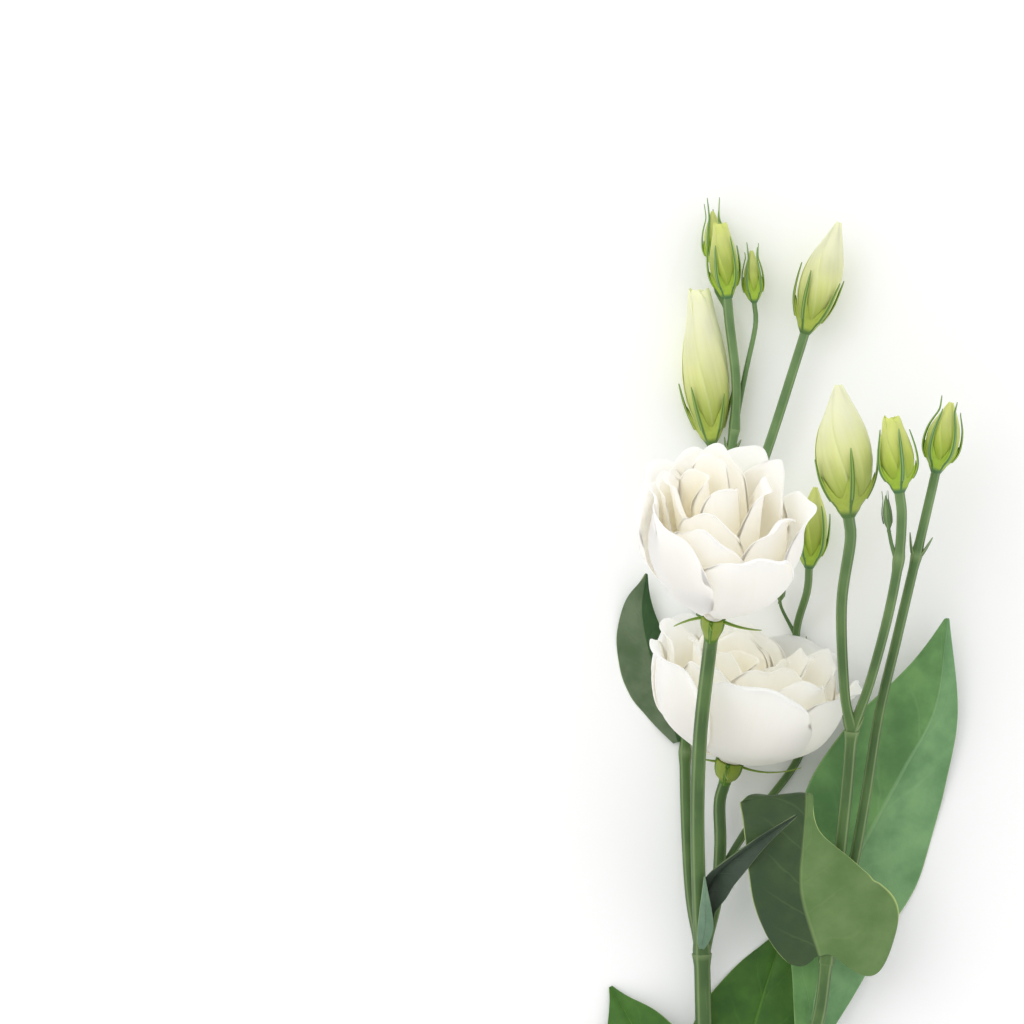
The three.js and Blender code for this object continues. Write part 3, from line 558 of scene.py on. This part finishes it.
cupForm = {
    "line": [(0.76, 0.74), (0.96, 0.5), (1.02, 0.25)],  # shares of a bloom cup's radius and depth
    "grip": 1.02, "sink": 0.4,  # any cup's end on the stalk: share of that radius, and mm further down
    "rib": 0.32,  # mm that a rib stands out at the top of a bloom's cup
}


def ribs(angle, start):  # 1 on each of five ribs, 0 between them
    return max(0, math.cos(5 * (angle - start)))


def bloomSepal(bloom, base, number):
    form, length = sepalForm, bloom["sepalLength"][number]
    key = bloom["seed"] + number
    angle = math.radians(bloom["sepalStart"] + number * 72 + form["turnSpread"] * (draw(key) - 0.5))
    out = Vector((math.cos(angle), math.sin(angle), 0))
    side = Vector((math.sin(angle), -math.cos(angle), 0))

    def place(u, v):
        across = 2 * u - 1
        half = form["half"] * (1 - v) ** 0.7 + form["tipHalf"]
        bow = form["bow"] * v * v * (2 * draw(key + 0.2) - 1)
        rise = form["seat"] + (form["rise"] * length + bloom["sepalLift"][number]) * v * v
        rise -= form["droop"] * v * draw(key + 0.5) + form["keel"] * (1 - abs(across)) * (1 - v)
        reach = bloom["cupRadius"] * form["root"] + length * v
        return base @ (out * reach + side * (half * across + bow) + Vector((0, 0, rise)))

    # tone is 1 along the middle: the keel, whose crest takes the painted highlight
    return sheet(form, place, lambda u, v: 1 - abs(2 * u - 1))


def bloomCup(bloom, base, stalkRadius):
    foot, wide = -bloom["cupHeight"], bloom["cupRadius"]
    line = [(stalkRadius * cupForm["grip"], foot - cupForm["sink"]), (stalkRadius * 1.12, foot * 0.88),
            *[(wide * out, foot * down) for out, down in cupForm["line"]], (wide * 1.03, -0.7)]
    start = math.radians(bloom["sepalStart"])
    # tone is 1 on the ribs, where the painted highlight lies, and at the foot
    return turned(base, line, 60, lambda angle, share: cupForm["rib"] * share * ribs(angle, start) ** 3,
                  lambda u, v: max(ribs(2 * math.pi * u, start) ** 2, 1 - 2.4 * v))


def buildBloom(bloom):
    axis = bloomAxis(bloom)
    foot = Vector(stalks[bloom["name"]]["points"][-1])
    base = frameAlong(foot + axis * bloom["cupHeight"], axis)
    petals = []
    for number, (count, *_) in enumerate(whorls):
        for index in range(count):
            place, tone = petalPlace(bloom, number, index, base)
            petals.append(sheet(petalForm, place, tone, wider=2 if count == 1 else 1))
    wide = bloom["cupRadius"]  # the petals grow from a seat as wide as the cup
    seat = turned(base, [(wide * 0.9, -0.3), (wide * 1.1, 3), (2.2, 7)], 24, tone=lambda u, v: 1)
    standFor(bloom["name"] + "_petals", materials["whitePetal"], [*petals, seat])
    sepals = [bloomSepal(bloom, base, number) for number in range(5)]
    cup = bloomCup(bloom, base, stalks[bloom["name"]]["radius"][1])
    standFor(bloom["name"] + "_calyx", materials["bloomCalyx"], [cup, *sepals])
    print(bloom["name"], "made,", len(petals), "petals")


# The buds: five petals wound one over the next, in a cup with five keeled sepals

budForm = {
    "thickness": 0.28, "across": 15, "along": 18,  # mm, and faces over a petal's width and length
    "body": 0.96,  # the wound petals' radius against the bud's
    "petalStep": 0.06,  # how far a petal stands over the next, against the same
    "step": 0.09,  # how far the calyx keeps off the petals, against the same
    "gap": 0.3,  # mm, and how far more
    "twist": 0.9,  # petals by which a bud winds round from foot to tip
    "span": 150,  # degrees that a petal covers, 72 of them in sight
    "hollow": 0.12,  # mm, soft hollows in a petal
    "tipStart": 0.8,  # share of the length from which the tip is folded
    "core": (0.9, 0.96),  # the core's radius and length against the bud's
    "foot": (0.22, 1),  # length of the calyx's foot, as a share of the bud's radius and mm
    "wall": 0.85,  # mm, the calyx at its foot; it thins out upwards
    "rib": 0.35,  # mm that a rib stands out
    "skin": 0.2,  # mm, the calyx's skin
    "skinTop": (0.5, 1.3),  # its height between the ribs and how much more on them, against the cup's
    "skinEnd": -0.35,  # mm, its upper edge lies in the petals
    "footRows": 0.35,  # share of a cup's rows below the petals
    "shelf": 0.01,  # share of the length at which the wall is the thickest
}

budSepalForm = {
    "thickness": 0.22, "across": 8, "along": 16,
    "half": 1.3, "tipHalf": 0.08,  # mm, half its width at the root and the tip
    "halfShare": 0.17,  # the first at most, against the bud's radius
    "spread": 0.3,  # how much the sepals differ in length
    "root": 0.35,  # where it begins, as a share of the cup's height
    "off": 0.2,  # mm that it stands off the cup
    "flare": 0.7,  # mm that its tip stands off further
    "keel": 0.5,  # the keel's height against the half width
    "bow": 0.7,  # mm that it curves to one side at most
}

# The line is a bud's radius along its length. At the tip, fold and lean (of the free edge) go with the
# radius, fall (of a petal's corners) goes with the length, and uneven is in mm
budKinds = {
    "closed": {
        "fold": 0.054, "lean": 0, "fall": 0.05, "uneven": 0.35,
        "line": [(0, 0.3), (0.06, 0.52), (0.12, 0.7), (0.19, 0.84), (0.28, 0.96), (0.41, 1),
                 (0.54, 0.94), (0.65, 0.81), (0.77, 0.58), (0.88, 0.35), (0.96, 0.21), (1, 0.12)]},
    "opening": {
        "fold": 0.144, "lean": 0.1, "fall": 0.09, "uneven": 1.5,
        "line": [(0, 0.3), (0.06, 0.52), (0.12, 0.7), (0.19, 0.84), (0.28, 0.96), (0.4, 1),
                 (0.55, 0.93), (0.7, 0.77), (0.85, 0.56), (0.95, 0.44), (1, 0.38)]},
}

buds = [  # closed, green and their first sepal turned by 0.3 of a step, where nothing else is said
    {"name": "plump_bud", "tip": (17.8, 146.5, 50), "radius": 9.7, "cup": 0.16, "sepal": 0.44,
     "turn": 0.9, "colour": "cream"},
    {"name": "middle_bud", "tip": (34.8, 135.6, 58.4), "radius": 6.1, "kind": "opening", "cup": 0.2,
     "sepal": 0.85, "turn": 0.92},
    {"name": "outer_bud", "tip": (54.8, 140.6, 50), "radius": 5.6, "cup": 0.2, "sepal": 1, "turn": 0.22},
    {"name": "creamy_bud", "tip": (-27, 178.9, 12), "radius": 8, "kind": "opening", "cup": 0.12,
     "sepal": 0.32, "colour": "cream"},
    {"name": "tall_bud", "tip": (19.5, 201, 16), "radius": 6.9, "cup": 0.14, "sepal": 0.5,
     "turn": 0.35, "colour": "cream"},
    {"name": "slim_bud", "tip": (-20.1, 200.6, 17), "radius": 4.9, "kind": "opening", "cup": 0.18,
     "sepal": 0.74},
    {"name": "hidden_bud", "tip": (11.6, 112.9, 15), "radius": 5.3, "cup": 0.18, "sepal": 0.7},
    {"name": "long_sepal_bud", "tip": (-22.4, 205, 7), "radius": 3.2, "cup": 0.24, "sepal": 1.12},
    {"name": "small_bud", "tip": (-9.6, 191.7, 13), "radius": 2.9, "cup": 0.26, "sepal": 1.1},
]


def stepShare(v):  # how much of a step between petals there is along a bud
    return smoothStep(v * 4) * (1 - 0.4 * v)


def kindOf(bud):
    return budKinds[bud.get("kind", "closed")]


def clearOfBud(bud, v):
    body = budForm["body"] * readLine(kindOf(bud)["line"], v)
    return bud["radius"] * (body + budForm["step"] * stepShare(v)) + budForm["gap"]


def budPetal(bud, base, length, number):
    form, kind = budForm, kindOf(bud)

    def place(u, v):
        edge = (number - form["twist"] * v) * 72
        angle = math.radians(edge - (1 - u) * form["span"])
        shown = 1 - (1 - u) * form["span"] / 72
        step = form["petalStep"] * (shown ** 3 if shown > 0 else 0.5 * shown)
        radius = bud["radius"] * (form["body"] * readLine(kind["line"], v) + step * stepShare(v))
        top = smoothStep((v - form["tipStart"]) / (1 - form["tipStart"]))
        folds = kind["fold"] * ripple(u * 4, number * 3.7, v * 2) + kind["lean"] * u
        radius += top * bud["radius"] * folds
        radius += form["hollow"] * ripple(u * 2.5, v * 6, number + bud["radius"])
        height = v * length * (1 - kind["fall"] * abs(2 * u - 1.25) ** 2 * v ** 3)
        height += top * kind["uneven"] * ripple(u * 7, number * 5.1, 2)
        return around(base, angle, radius, height)

    return sheet(form, place)


def budBody(line, radius, length):  # (radius, height) up a bud, in mm
    return [(radius * readLine(line, step / 8), length * step / 8) for step in range(9)]


def budCore(bud, base, length):  # what shows between the petals at the tip
    thin, short = budForm["core"]
    return turned(base, budBody(kindOf(bud)["line"], thin * bud["radius"], short * length), 24)


def budSepal(bud, base, length, number):
    form = budSepalForm
    angle = math.radians((number + bud.get("turn", 0.3)) * 72)
    end = bud["sepal"] * (1 + form["spread"] * (draw(number + bud["radius"]) - 0.5))
    root = bud["cup"] * form["root"]
    wide = min(form["half"], bud["radius"] * form["halfShare"])
    bow = form["bow"] * (2 * draw(number + bud["radius"] * 7) - 1)

    def place(u, v):
        across = 2 * u - 1
        share = mix(root, end, v)
        out = clearOfBud(bud, min(share, 0.85)) + form["off"] + form["flare"] * v ** 3
        out += budForm["wall"] * (1 - v) ** 3
        half = wide * (1 - v) ** 0.7 + form["tipHalf"]
        out += form["keel"] * wide * (1 - abs(across)) ** 1.5 * (1 - 0.5 * v)
        out -= 0.2 * half * across ** 2
        turn = angle + (half * across + bow * v * v) / out
        return around(base, turn, out, share * length)

    def tone(u, v):  # the keel, wider against the thin skin towards the tip, its crest painted lighter as a highlight
        return hump(2 * u - 1, 0.55 + 0.5 * v)

    return sheet(form, place, tone)


def budCup(bud, base, length, stalkRadius, foot):
    # The foot swells from the stalk, and thin skin reaches up the bud, highest at the ribs
    form = budForm
    lowest = clearOfBud(bud, 0) + form["wall"]
    start = math.radians(72 * bud.get("turn", 0.3))
    rows, shelf = form["footRows"], form["shelf"]
    between, more = form["skinTop"]

    def place(u, v):
        angle = 2 * math.pi * u
        if v < rows:
            share = v / rows
            radius = mix(stalkRadius * cupForm["grip"], lowest, math.sin(share * math.pi / 2) ** 1.5)
            height = mix(-foot - cupForm["sink"], shelf * length, share)
        else:
            share = (v - rows) / (1 - rows)
            top = bud["cup"] * (between + more * (0.5 + 0.5 * math.cos(5 * (angle - start))) ** 2)
            height = mix(shelf, top, share)
            radius = clearOfBud(bud, height) + mix(form["wall"], form["skinEnd"], share)
            height *= length
        radius += form["rib"] * ribs(angle, start) ** 3 * smoothStep(v / 0.3)
        return around(base, angle, radius, height)

    # the ribs partly lightened by the painted highlight, and the foot in the dark flank green
    def tone(u, v):
        return max(0.9 * ribs(2 * math.pi * u, start) ** 4, 0.8 - 2 * v)

    return thicken(closeUp(formedGrid(50, 12, place, tone)), form["skin"])


def buildBud(bud):
    stalk, colour = stalks[bud["name"]], bud.get("colour", "green")
    end = Vector(stalk["points"][-1])
    way = Vector(bud["tip"]) - end
    share, more = budForm["foot"]
    foot = share * bud["radius"] + more
    length = way.length - foot
    base = frameAlong(end + way.normalized() * foot, way)
    petals = [budPetal(bud, base, length, number) for number in range(5)]
    petals.append(budCore(bud, base, length))
    standFor(bud["name"] + "_petals", materials[colour + "Bud"], petals)
    sepals = [budSepal(bud, base, length, number) for number in range(5)]
    cup = budCup(bud, base, length, stalk["radius"][1], foot)
    standFor(bud["name"] + "_calyx", materials[colour + "Calyx"], [cup, *sepals])


# The stalks, with swollen joints, bracts and two very young buds

stalkForm = {
    "sides": 32,  # faces round a stalk, half as many round a thin one
    "ringStep": 2.2,  # mm from ring to ring
    "thin": 1.2,  # mm, under this radius it's thin and has no ridges
    "swell": 0.26, "swellReach": 2.4,  # how much it swells at a joint, and mm that this reaches
    "rootSwell": 0.3, "rootReach": 5,  # the same where it leaves another stalk
    "rootSink": 1.4,  # mm that it's sunk into that one
    "seatRun": 8,  # mm of straight stalk below a flower
    "ridge": 0.16,  # mm that each of four ridges stands out
    "ridgeTurn": 0.62,  # radians by which a ridge lies off the middle, to the side the stalk ends on
    "ridgeHighlight": 0.4, "collarPale": 0.3, "cutPale": 0.9,  # how pale the ridges' painted highlight, the joints and the cut end are
    "collarReach": 1.2,  # mm that a joint is paler
}

stalks = {
    "main": {"radius": (3.1, 2.7), "joints": (0.5, 1), "points": [(-24.4, -209.9, 3.1),
        (-24.4, -168.6, 3.2), (-24.4, -127.4, 4.2), (-25.1, -82.8, 7), (-26.1, -42.6, 11)]},
    "front_bloom": {"radius": (2.4, 2.3), "points": [(-26.1, -42.6, 11), (-27.4, -23.4, 24),
        (-28.4, 6.3, 43), (-27.7, 32.7, 56.5), (-24.4, 63.4, 63)]},
    "low_bloom": {"radius": (2.1, 2), "points": [(-26.1, -42.6, 11), (-21.5, -25.1, 12),
        (-20, -6.9, 12), (-18.5, 14.5, 12.2)]},
    "back": {"radius": (1.9, 1.6), "joints": (0.38, 0.69, 1), "points": [(-26.1, -42.6, 11),
        (-30, -20.1, 5.5), (-31.5, 26.1, 1.6), (-28.5, 59.1, 1.8), (-23.4, 81.2, 3.5),
        (-20.1, 102, 5.5), (-15.2, 132.3, 8.5)]},
    "slim_bud": {"radius": (1.5, 1.65), "points": [(-15.2, 132.3, 8.5), (-14.8, 148.2, 13.4),
        (-17.8, 175.9, 15)]},
    "long_sepal_bud": {"radius": (1, 0.9), "points": [(-15.2, 132.3, 8.5), (-14.2, 150, 6.5),
        (-17, 170, 6), (-21.5, 187, 6)]},
    "small_bud": {"radius": (0.9, 0.8), "points": [(-15.2, 132.3, 8.5), (-11.6, 150.7, 10.5),
        (-8.7, 174.6, 12)]},
    "tall_bud": {"radius": (1.7, 1.6), "points": [(-23.4, 81.2, 3.5), (-14.2, 98.7, 6),
        (-4.3, 125.1, 9.5), (8.2, 164.3, 12)]},
    "creamy_bud": {"radius": (1.5, 1.5), "points": [(-20.9, 98, 5.2), (-23, 113.5, 6.2),
        (-22.9, 127.4, 7.6)]},
    "hidden_bud": {"radius": (1.3, 1.3), "joints": (0.7,), "points": [(-21.6, -18.5, 12),
        (-9.2, 1.3, 6), (6.6, 22.8, 2), (9.6, 42.6, 1.8), (5.6, 62.4, 2.3), (9.6, 86.1, 11)]},
    "right": {"radius": (2.3, 2.1), "joints": (0.66, 1), "points": [(-24.4, -127.4, 4.2),
        (-16.5, -115.8, 7), (-1.7, -94.4, 13), (7.6, -77.5, 18), (12.5, -63, 22), (14.9, -43.2, 27)]},
    "fork": {"radius": (2.1, 2), "joints": (1,), "points": [(14.9, -43.2, 27), (18.5, -11.9, 33.5),
        (20.8, 11.2, 39), (22.4, 32.7, 44.5)]},
    "plump_bud": {"radius": (1.6, 1.95), "points": [(22.4, 32.7, 44.5), (19.8, 45.9, 48.5),
        (18.8, 73.9, 49.5), (21.1, 103, 49)]},
    "middle_bud": {"radius": (1.6, 1.7), "joints": (0.72,), "points": [(22.4, 32.7, 44.5),
        (28.1, 48.5, 48), (34, 70.6, 50.5), (37.4, 88.8, 51.4), (37.4, 111.2, 56)]},
    "outer_bud": {"radius": (1.9, 1.55), "joints": (0.83,), "points": [(14.9, -43.2, 27),
        (23.1, -13.5, 30), (27.4, 9.6, 32.5), (31.7, 37.6, 36), (37.3, 62.4, 40), (41.9, 82.8, 44),
        (49.8, 117.8, 48)]},
    "hiddenTwig": {"radius": (0.6, 0.5), "points": [(6, 62.4, 2.3), (1, 71.6, 5.5), (0, 75, 7)]},
    "middleTwig": {"radius": (0.6, 0.6), "points": [(36.8, 88.2, 51.2), (35, 94, 53), (34, 99, 53.6)]},
}

# Stalk, place as a share of its length, and mm long
bracts = [("fork", 1, 5), ("back", 0.69, 7), ("back", 0.96, 4), ("hidden_bud", 0.7, 9),
          ("outer_bud", 0.83, 7)]

bractForm = {
    "thickness": 0.35, "across": 6, "along": 12,
    "half": 1.7,  # mm, half its width
    "root": 0.9,  # where it starts, against the stalk's radius
    "lean": 0.45,  # how far its tip leans away, against its length
    "keel": 0.5,  # mm that its middle stands out at the root
    "curl": 0.35,  # how much its sides curl in
}

youngBuds = {"hiddenTwig": (0.6, 82, 8.5), "middleTwig": (33, 110, 54.4)}  # stalk and tip

youngForm = {
    "thickness": 0.25, "across": 4, "along": 10,
    "radius": 1.5, "rib": 0.18,  # mm, of the bud and its ribs
    "half": 0.5, "off": 0.3, "flare": 0.4,  # mm: half a sepal, how far it stands off, its tip more
    "turn": 40,  # degrees by which the first sepal lies off the right
    "root": 0.15,  # where the sepals begin, as a share of the length
}


def axisOn(name):  # the way that the flower on a stalk points, if it has one
    for bloom in blooms:
        if bloom["name"] == name:
            return bloomAxis(bloom)
    for bud in buds:
        if bud["name"] == name:
            return (Vector(bud["tip"]) - Vector(stalks[name]["points"][-1])).normalized()
    return None


def stalkRoute(name):
    points = [Vector(point) for point in stalks[name]["points"]]
    axis = axisOn(name)
    if axis:
        points.insert(-1, points[-1] - axis * stalkForm["seatRun"])
    return routeThrough(points)


def stalkTube(name):
    at, length = stalkRoute(name)
    stalk, form = stalks[name], stalkForm
    joints = stalk.get("joints", ())
    thin = stalk["radius"][1] < form["thin"]
    sides = form["sides"] // (2 if thin else 1)
    ridge, highlight = (0, 0) if thin else (form["ridge"], form["ridgeHighlight"])
    rings = max(4, round(length / form["ringStep"]))
    ridgeTurn = math.copysign(form["ridgeTurn"], stalk["points"][-1][0])

    def place(u, v):
        share, closing = ringShare(v, rings)
        spot, way = at(share)
        radius = mix(*stalk["radius"], share)
        swell = sum(hump((share - joint) * length, form["swellReach"]) for joint in joints)
        radius *= 1 + form["swell"] * swell
        if name != "main":
            radius *= 1 + form["rootSwell"] * hump(share * length, form["rootReach"])
            spot = spot - way * (form["rootSink"] if share == 0 else 0)
        angle = 2 * math.pi * u
        radius += ridge * math.cos(2 * (angle - ridgeTurn)) ** 8
        return around(frameAlong(spot, way), angle, 0 if closing else radius)

    def tone(u, v):
        share, reach = ringShare(v, rings)[0], form["collarReach"]
        collar = max((hump((share - joint) * length, reach) for joint in joints), default=0)
        # a painted highlight along each ridge
        line = math.cos(2 * (2 * math.pi * u - ridgeTurn)) ** 24
        cut = form["cutPale"] if name == "main" and v == 0 else 0  # the pith
        return max(highlight * line, form["collarPale"] * collar, cut)

    tube = rounded(sides, rings + 2, place, tone)
    for loop in tube.data.uv_layers[0].data:  # the map runs in centimetres along the stalk
        loop.uv.y *= length / 10
    return tube


def bractPair(name, share, length):
    form = bractForm
    base = frameAlong(*stalkRoute(name)[0](share))
    root = form["root"] * mix(*stalks[name]["radius"], share)
    pair = []
    for hand in (-1, 1):
        def place(u, v, hand=hand):
            across = 2 * u - 1
            half = form["half"] * (1 - v) ** 0.75 * (1 + 0.5 * v)
            out = root + form["lean"] * length * v * (1 - 0.25 * v)
            out += form["keel"] * (1 - abs(across)) * (1 - v) - form["curl"] * half * across ** 2
            return base @ Vector((hand * out, half * across, length * v))

        pair.append(sheet(form, place, lambda u, v: 0.5 * abs(2 * u - 1) ** 4))
    return pair


def youngBud(name, tip):
    stalk, form, line = stalks[name], youngForm, budKinds["closed"]["line"]
    start = Vector(stalk["points"][-1])
    way = Vector(tip) - start
    base = frameAlong(start, way)
    body = turned(base, [(stalk["radius"][1], -1), *budBody(line, form["radius"], way.length)], 24,
                  lambda angle, share: form["rib"] * ribs(angle, 0) ** 2 * (1 - share),
                  lambda u, v: 0.35 * ribs(2 * math.pi * u, 0.6))
    sepals = []
    for number in range(3):
        def place(u, v, angle=math.radians(120 * number + form["turn"])):
            out = form["radius"] * readLine(line, min(0.2 + v, 0.9)) + form["off"] + form["flare"] * v
            turn = angle + (2 * u - 1) * form["half"] * (1 - v) / out
            return around(base, turn, out, (form["root"] + v) * way.length)

        sepals.append(sheet(form, place))
    return [body, *sepals]


def buildStem():
    pieces = [stalkTube(name) for name in stalks]
    for bract in bracts:
        pieces += bractPair(*bract)
    for name, tip in youngBuds.items():
        pieces += youngBud(name, tip)
    standFor("stem", materials["waxyStalk"], pieces)
    print("stem made,", len(stalks), "stalks")


# The leaves, each as two half blades on a midrib

leafForm = {
    "thickness": 0.5, "across": 30, "along": 44,
    "groove": 0.5, "grooveReach": 1.3,  # mm, the midrib's depth and half its width
    "flutter": 0.35, "dent": 0.7,  # mm, short folds at the margin and soft hollows
    "lobeStart": 0.15, "lobeReach": 0.35,  # shares of the width and length: where the foot's lobes lie
    "leftTurn": 1,  # radians that the left margin's waves run ahead of the right one's
}

outlines = {
    "ovate": [(0, 0.14), (0.12, 0.5), (0.3, 0.92), (0.45, 1), (0.65, 0.86), (0.82, 0.5), (0.93, 0.17),
        (1, 0.03)],
    "narrow": [(0, 0.3), (0.15, 0.8), (0.35, 1), (0.6, 0.72), (0.85, 0.3), (1, 0.06)],
    "fullTop": [(0, 0.12), (0.15, 0.3), (0.3, 0.56), (0.45, 0.9), (0.55, 1), (0.67, 0.92), (0.83, 0.7),
        (0.93, 0.26), (1, 0.03)],
    "taper": [(0, 0.14), (0.12, 0.5), (0.3, 0.92), (0.45, 1), (0.67, 0.66), (0.83, 0.27), (0.93, 0.12),
        (1, 0.03)],
    "broadTop": [(0, 0.45), (0.07, 0.57), (0.15, 0.66), (0.28, 0.7), (0.44, 0.76), (0.56, 0.85),
        (0.68, 0.93), (0.8, 1), (0.88, 0.97), (1, 0.5)],
    "broadFoot": [(0, 0.86), (0.07, 0.96), (0.15, 1), (0.28, 0.88), (0.44, 0.76), (0.54, 0.55),
        (0.62, 0.22), (0.7, 0.08), (1, 0.05)],
}

leaves = [
    {"name": "right_leaf", "rib": [(8.6, -76.5, 15), (11.5, -56.4, 13), (18.2, -25.1, 10),
     (25.4, -10.9, 9.4), (40.9, 17.8, 9.4), (52.1, 39.9, 11), (55.4, 69.3, 16)],
     "left": (27, "fullTop"), "right": (25, "taper"), "fold": (8, -22), "wave": 0.7, "waves": 3,
     "material": "broadLeaf"},
    {"name": "wavy_leaf", "rib": [(12.2, -42.6, 30.5), (6.8, -25.4, 38), (5.6, -15.5, 42),
     (6.6, -4, 44.5), (7.4, 5, 44), (7.8, 12, 39), (7, 10.5, 29)], "left": (22.5, "broadTop"),
     "right": (30.5, "broadFoot"), "fold": (-5, -6), "lobe": (2, 12.5), "wave": 1.1, "waves": 3.2,
     "material": "wavyLeaf"},
    {"name": "dark_leaf", "rib": [(-24.6, -36.6, 15.6), (-25, -24, 17.5), (-21, -14.6, 30),
     (-10.5, -5, 46), (4, 5.3, 52)], "left": (3.5, "narrow"), "right": (8, "narrow"),
     "fold": (34, 34), "roll": -20, "wave": 0.2, "waves": 2, "slot": "dark_leaf",
     "material": "greyLeaf"},
    {"name": "front_bract", "rib": [(-26.4, -40.8, 15.9), (-25.4, -33, 23), (-25.5, -25, 28.8),
     (-25.8, -15.8, 34.5)], "left": (2.6, "narrow"), "right": (3, "narrow"), "fold": (12, 12),
     "wave": 0, "waves": 1, "slot": "bract", "material": "waxyBract"},
    {"name": "left_leaf", "rib": [(-33.9, 27.5, 3), (-38.5, 42.6, 4), (-43.9, 59.1, 4.6),
     (-46, 72.3, 6), (-44.5, 84, 9)], "left": (12.5, "ovate"), "right": (7, "ovate"),
     "fold": (-24, -8), "wave": 0.4, "waves": 2, "slot": "dark_leaf", "material": "shadedLeaf"},
    {"name": "foot_leaf_right", "rib": [(-20.9, -124, 1.4), (-15, -96, 0.45), (-7, -63, 0.45),
     (2.3, -33.3, 1.2)], "left": (22, "ovate"), "right": (22, "ovate"), "fold": (0, 0), "wave": 0.6,
     "waves": 3, "material": "footLeaf"},
    {"name": "foot_leaf_left", "rib": [(-27.9, -124.5, 4.6), (-35, -99.3, 7.5), (-46, -72.9, 6.5),
     (-56.4, -54, 1.2)], "left": (19, "ovate"), "right": (18, "ovate"), "fold": (-10, 22),
     "wave": 0.6, "waves": 3, "material": "footLeaf"},
]


def buildLeaf(leaf):
    at, _ = routeThrough([Vector(point) for point in leaf["rib"]])
    form = leafForm
    key = leaf["left"][0] + 10 * leaf["right"][0]

    def place(u, v):
        u = 2 * u - 1
        centre, way = at(v)
        right = (Vector((1, 0, 0)) - way * way.x).normalized()
        right.rotate(Matrix.Rotation(math.radians(leaf.get("roll", 0)), 3, way))
        normal = right.cross(way).normalized()
        width, outline = leaf["left"] if u < 0 else leaf["right"]
        fold = math.radians(leaf["fold"][0 if u < 0 else 1])
        reach = abs(u) * width * readLine(outlines[outline], v)
        outward = max(0, (abs(u) - form["lobeStart"]) / (1 - form["lobeStart"]))
        lobe = leaf.get("lobe", (0, 0))[0 if u < 0 else 1] * math.sin(math.pi * outward)
        lobe *= 1 - smoothStep(v / form["lobeReach"])
        turn = 2 * math.pi * leaf["waves"] * v + (form["leftTurn"] if u < 0 else 0)
        wave = leaf["wave"] * abs(u) ** 3 * math.sin(turn)
        wave += form["flutter"] * min(1, leaf["wave"]) * u ** 6 * ripple(v * 16, key, u)
        wave += form["dent"] * min(1, leaf["wave"]) * abs(u) * ripple(u * 2, v * 5, key)
        wave -= form["groove"] * min(1, width / 10) * hump(reach, form["grooveReach"])
        return (centre + right * math.copysign(reach * math.cos(fold), u)
                + normal * (reach * math.sin(fold) + wave) - way * lobe)

    blade = formedGrid(form["across"], form["along"], place, above=form["thickness"] / 2)
    blade.data.materials.append(materials[leaf["material"]])
    blade.data.materials.append(materials["leafUnderside"])
    thicken(blade, form["thickness"], backMaterial=1)
    standFor(leaf["name"], None, [blade])


for bloom in blooms:
    buildBloom(bloom)
for bud in buds:
    buildBud(bud)
print("buds made,", len(buds))
buildStem()
for leaf in leaves:
    buildLeaf(leaf)
print("leaves made,", len(leaves))


# Floor, light and camera

studio = {
    "floor": "#fcfcfc", "floorSize": 6, "worldStrength": 0.95,
    "keyPlace": (-0.75, 0.7, 1.7), "keySize": 1.3, "keyPower": 7,
    "aim": (0, 0.03, 0.03),
    "bounces": 14,  # light is passed on many times between white petals
    "viewWidth": 0.338,  # m across the picture, at the flowers' height
    "viewCentre": (-0.09, 0.1046), "viewHeight": 0.035, "distance": 2.5,
}


def buildStudio():
    bpy.ops.object.select_all(action="DESELECT")
    bpy.ops.mesh.primitive_plane_add(size=studio["floorSize"])
    floor = bpy.context.active_object
    floor.name = "floor"
    surface = {"Base Color": studio["floor"], "Roughness": 0.9, "Specular IOR Level": 0.1}
    floor.data.materials.append(newMaterial("studioFloor", surface)[0])

    scene = bpy.context.scene
    scene.world = bpy.data.worlds.new("softRoom")
    scene.world.use_nodes = True
    background = scene.world.node_tree.nodes["Background"]
    background.inputs["Color"].default_value = (1, 1, 1, 1)
    background.inputs["Strength"].default_value = studio["worldStrength"]
    scene.view_settings.view_transform = "Standard"
    scene.cycles.max_bounces = scene.cycles.diffuse_bounces = studio["bounces"]

    place = Vector(studio["keyPlace"])
    bpy.ops.object.light_add(type="AREA", location=place)
    key = bpy.context.active_object
    key.rotation_euler = (Vector(studio["aim"]) - place).to_track_quat("-Z", "Y").to_euler()
    key.data.size = studio["keySize"]
    key.data.energy = studio["keyPower"]

    x, y = studio["viewCentre"]
    bpy.ops.object.camera_add(location=(x, y, studio["viewHeight"] + studio["distance"]))
    camera = bpy.context.active_object
    camera.rotation_euler = (0, 0, 0)
    camera.data.sensor_width = 36
    camera.data.lens = camera.data.sensor_width * studio["distance"] / studio["viewWidth"]
    camera.data.clip_start, camera.data.clip_end = 0.1, 20
    scene.camera = camera


buildStudio()
